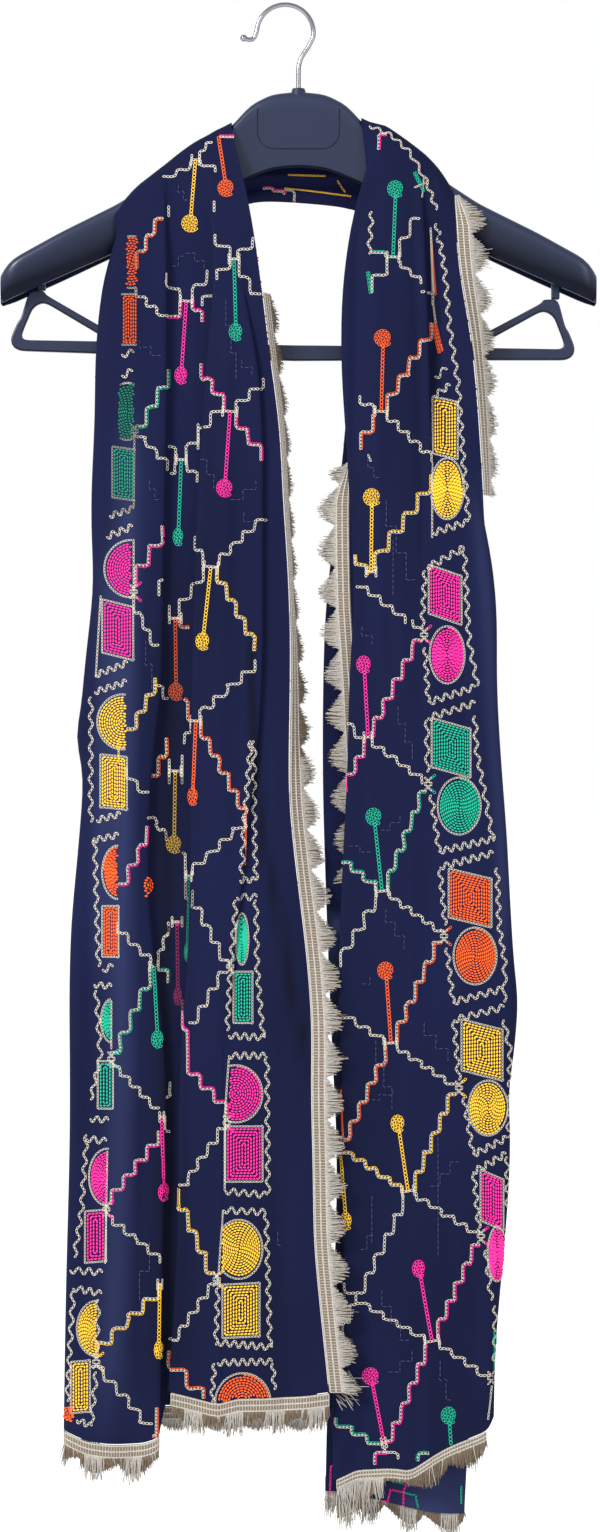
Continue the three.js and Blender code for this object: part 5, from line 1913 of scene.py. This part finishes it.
def work_front(hoop: Hoop) -> None:
    """Works the front of both panels from the chart's tables."""
    for x0, z0, x1, z1, runs, first, thread in STAIRS_LEFT + STAIRS_RIGHT:
        ends = (*from_chart(x0, z0), *from_chart(x1, z1))
        hoop.pair(stair(*ends, runs, first), thread)
    for x0, z0, x1, z1, runs, first in GHOSTS:
        ends = (*from_chart(x0, z0), *from_chart(x1, z1))
        hoop.chain(stair(*ends, runs, first), H, kind="plump", wide=0.7, step=4.2)
    for run, *flat in BORDERS:
        corners = [from_chart(*place) for place in zip(flat[::2], flat[1::2])]
        for start, stop in zip(corners, corners[1:]):
            hoop.wave(start, stop, run)
    for rows, work in ((DISCS, hoop.disc), (SQUARES, hoop.square)):
        for x, z, half_x, half_z, left, right, slope, thread in rows:
            low, high = from_chart(left, 0)[0], from_chart(right, 0)[0]
            sizes = (half_x * CHART_SQUARE, half_z * CHART_SQUARE)

            def keep(at_x, at_z, low=low, high=high):
                return low <= at_x <= high

            rim = half_z > LEAST_RIMMED
            work(*from_chart(x, z), *sizes, thread, keep=keep, slope=-slope, rim=rim)
    for x0, z0, x1, z1, half_bar, half_ball, thread in PINS:
        sizes = (half_bar * CHART_SQUARE, half_ball * CHART_SQUARE)
        hoop.pin(from_chart(x0, z0), from_chart(x1, z1), *sizes, thread)
    for x0, z0, x1, z1, rows, thread in SLIVERS:
        for row in range(rows):
            shift = (row - (rows - 1) / 2) * 1.5
            hoop.chain([from_chart(x0, z0), from_chart(x1, z1)], thread, shift=shift, wide=1.6)
    for x, z, thread in KNOTS:
        hoop.knot(*from_chart(x, z), thread)


@dataclass(frozen=True)
class Lattice:
    """The regular pattern of the cloth, for the sides that hang behind.

    It has the x of each column of joints, evenly apart, the heights of its top and bottom, and the x
    of its border's middle, or None for no border.
    """

    xs: tuple
    zs: tuple
    border: float | None
    half_wide: float = 40.0
    period: float = 112.0
    runs: int = 10

    def work(self, hoop: Hoop) -> None:
        """Works the lattice, its pins and its border."""
        colours = (O, G, P, Y)
        for column, x in enumerate(self.xs):
            z, row = self.zs[0] - (column % 2) * self.period / 2, column
            while z > self.zs[1]:
                thread = colours[row % len(colours)]
                hoop.pin((x, z), (x, z - 55), 4.5, 6.4, thread)
                for side in (-1, 1):
                    far_x, far_z = x + side * (self.half_wide - 4.5), z - self.period / 2 + 4
                    ends = (x + side * 4.5, z - 4, far_x, far_z)
                    hoop.pair(stair(*ends, self.runs, Z), thread if side < 0 else C)
                z -= self.period
                row += 1
        if self.border is None:
            return
        z, row = self.zs[0] - 10, 0
        while z > self.zs[1]:
            thread = colours[row % len(colours)]
            for side in (-1, 1):
                beside, level = self.border + side * 23, z + side * 52
                hoop.wave((beside, z + 50), (beside, z - 50), SIDE)
                hoop.wave((self.border - 21, level), (self.border + 21, level), END)
            hoop.disc(self.border, z + 24, 17, 19, thread)
            hoop.square(self.border, z - 22, 16, 18, thread)
            z -= self.period
            row += 1


def work_neck_inside(hoop: Hoop) -> None:
    """Works what shows through on the neck band's wrong side."""
    for start, stop in (((288, 165), (326, 166)), ((284, 178), (352, 186)), ((338, 170), (346, 182))):
        hoop.chain([from_chart(*start), from_chart(*stop)], Y, wide=1.5)
    hoop.pair(stair(*from_chart(262, 178), *from_chart(284, 184), 4, X), P)
    hoop.pair(stair(*from_chart(284, 180), *from_chart(294, 192), 2, X), C)


def work_turned_hem(hoop: Hoop) -> None:
    """Works what shows on the right back layer below the front's hem."""
    for line, thread in TURNED_LINES:
        hoop.chain([from_chart(*corner) for corner in line], thread, wide=1.5)


def embroider(cloth: Cloth) -> dict[str, list[Piece]]:
    """Works every side of the cloth that shows, and lists the stitches by the layer they are on."""
    looks = {
        thread: Yarn(thread.value, colour, dark=0.88, roughness=0.7).make()
        for thread, colour in THREAD_COLOURS.items()
    }
    models = stitch_models()
    left_lattice = Lattice((-150, -110, -70), (-215, -960), -24)
    right_lattice = Lattice((40, 80), (-200, -1010), 122)
    neck_lattice = Lattice((-60, -20, 20, 60), (-112, -140), None)
    jobs = (
        ("left_front", "left_front", [cloth.left_front], -1, work_front),
        ("right_front", "right_front", [cloth.right_front], -1, work_front),
        ("left_back", "left_behind", [cloth.left_back, cloth.left_front], 1, left_lattice.work),
        ("right_back", "right_behind", [cloth.right_back, cloth.right_front], 1, right_lattice.work),
        ("neck_band", "neck", [cloth.neck_band], 1, neck_lattice.work),
        ("neck_band", "neck_inside", [cloth.neck_band], -1, work_neck_inside),
        ("right_back", "turned_hem", [cloth.right_back], -1, work_turned_hem),
    )
    made: dict[str, list[Piece]] = {}
    for node, name, grids, side, work in jobs:
        hoop = Hoop(name, grids, side)
        work(hoop)
        made.setdefault(node, []).extend(hoop.finish(models, looks))
    return made


# ---- Studio ------------


@dataclass(frozen=True)
class Studio:
    """A pale floor, a white room, soft lamps and the camera."""

    camera_place: tuple = (0.0011, -2.8, -0.5648)
    lens: float = 88.0
    floor_z: float = -1.32
    room: float = 0.66

    def backdrop(self) -> None:
        """A white floor that runs out of sight behind the piece."""
        floor = made_by(bpy.ops.mesh.primitive_plane_add, size=60, location=(0, 0, self.floor_z))
        floor.name = "pale_floor"
        white = {"Roughness": 0.9, "Emission Color": (1, 1, 1, 1), "Emission Strength": 0.55}
        floor.data.materials.append(Shader("pale_floor", white).finished((0.9, 0.9, 0.9, 1)))

    def lamp(self, name: str, place: tuple, size: float, power: float) -> None:
        """A square soft lamp aimed at the middle of the piece."""
        light = bpy.data.lights.new(name, "AREA")
        light.shape = "SQUARE"
        light.size = size
        light.energy = power
        lamp = linked(name, light)
        lamp.location = place
        aim = Vector((0, 0, -0.5)) - Vector(place)
        lamp.rotation_euler = aim.to_track_quat("-Z", "Y").to_euler()

    def build(self) -> None:
        """Sets the whole studio up."""
        self.backdrop()
        world = bpy.data.worlds.new("white_room")
        world.use_nodes = True
        sky = world.node_tree.nodes["Background"]
        sky.inputs["Color"].default_value = (1, 1, 1, 1)
        nodes = Nodes(world.node_tree)
        ray = nodes.add("ShaderNodeLightPath").outputs["Is Camera Ray"]
        seen = nodes.add("ShaderNodeMapRange", {"Value": ray, "To Min": self.room, "To Max": 1.0})
        nodes.feed(sky, {"Strength": seen.outputs["Result"]})
        bpy.context.scene.world = world
        self.lamp("key", (-1.9, -2.1, 1.1), 0.9, 100)
        self.lamp("fill", (1.7, -2.2, 0.1), 1.4, 17)
        bpy.context.scene.view_settings.view_transform = "Standard"
        data = bpy.data.cameras.new("camera")
        data.lens = self.lens
        data.sensor_width = 36
        data.sensor_fit = "AUTO"
        camera = linked("camera", data)
        camera.location = self.camera_place
        camera.rotation_euler = (math.pi / 2, 0, 0)
        bpy.context.scene.camera = camera


def main() -> None:
    """Builds the whole piece in the order that it is put together."""
    logging.basicConfig(level=logging.INFO, format="%(message)s")
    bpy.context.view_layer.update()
    Studio().build()
    Hanger().build()
    cloth = Cloth.shape()
    layers = cloth.build()
    trimmings = build_laces(cloth)
    for layer, stitches in embroider(cloth).items():
        trimmings.setdefault(layer, []).extend(stitches)
    Cloth.declare(layers, trimmings)


if __name__ == "__main__":
    main()
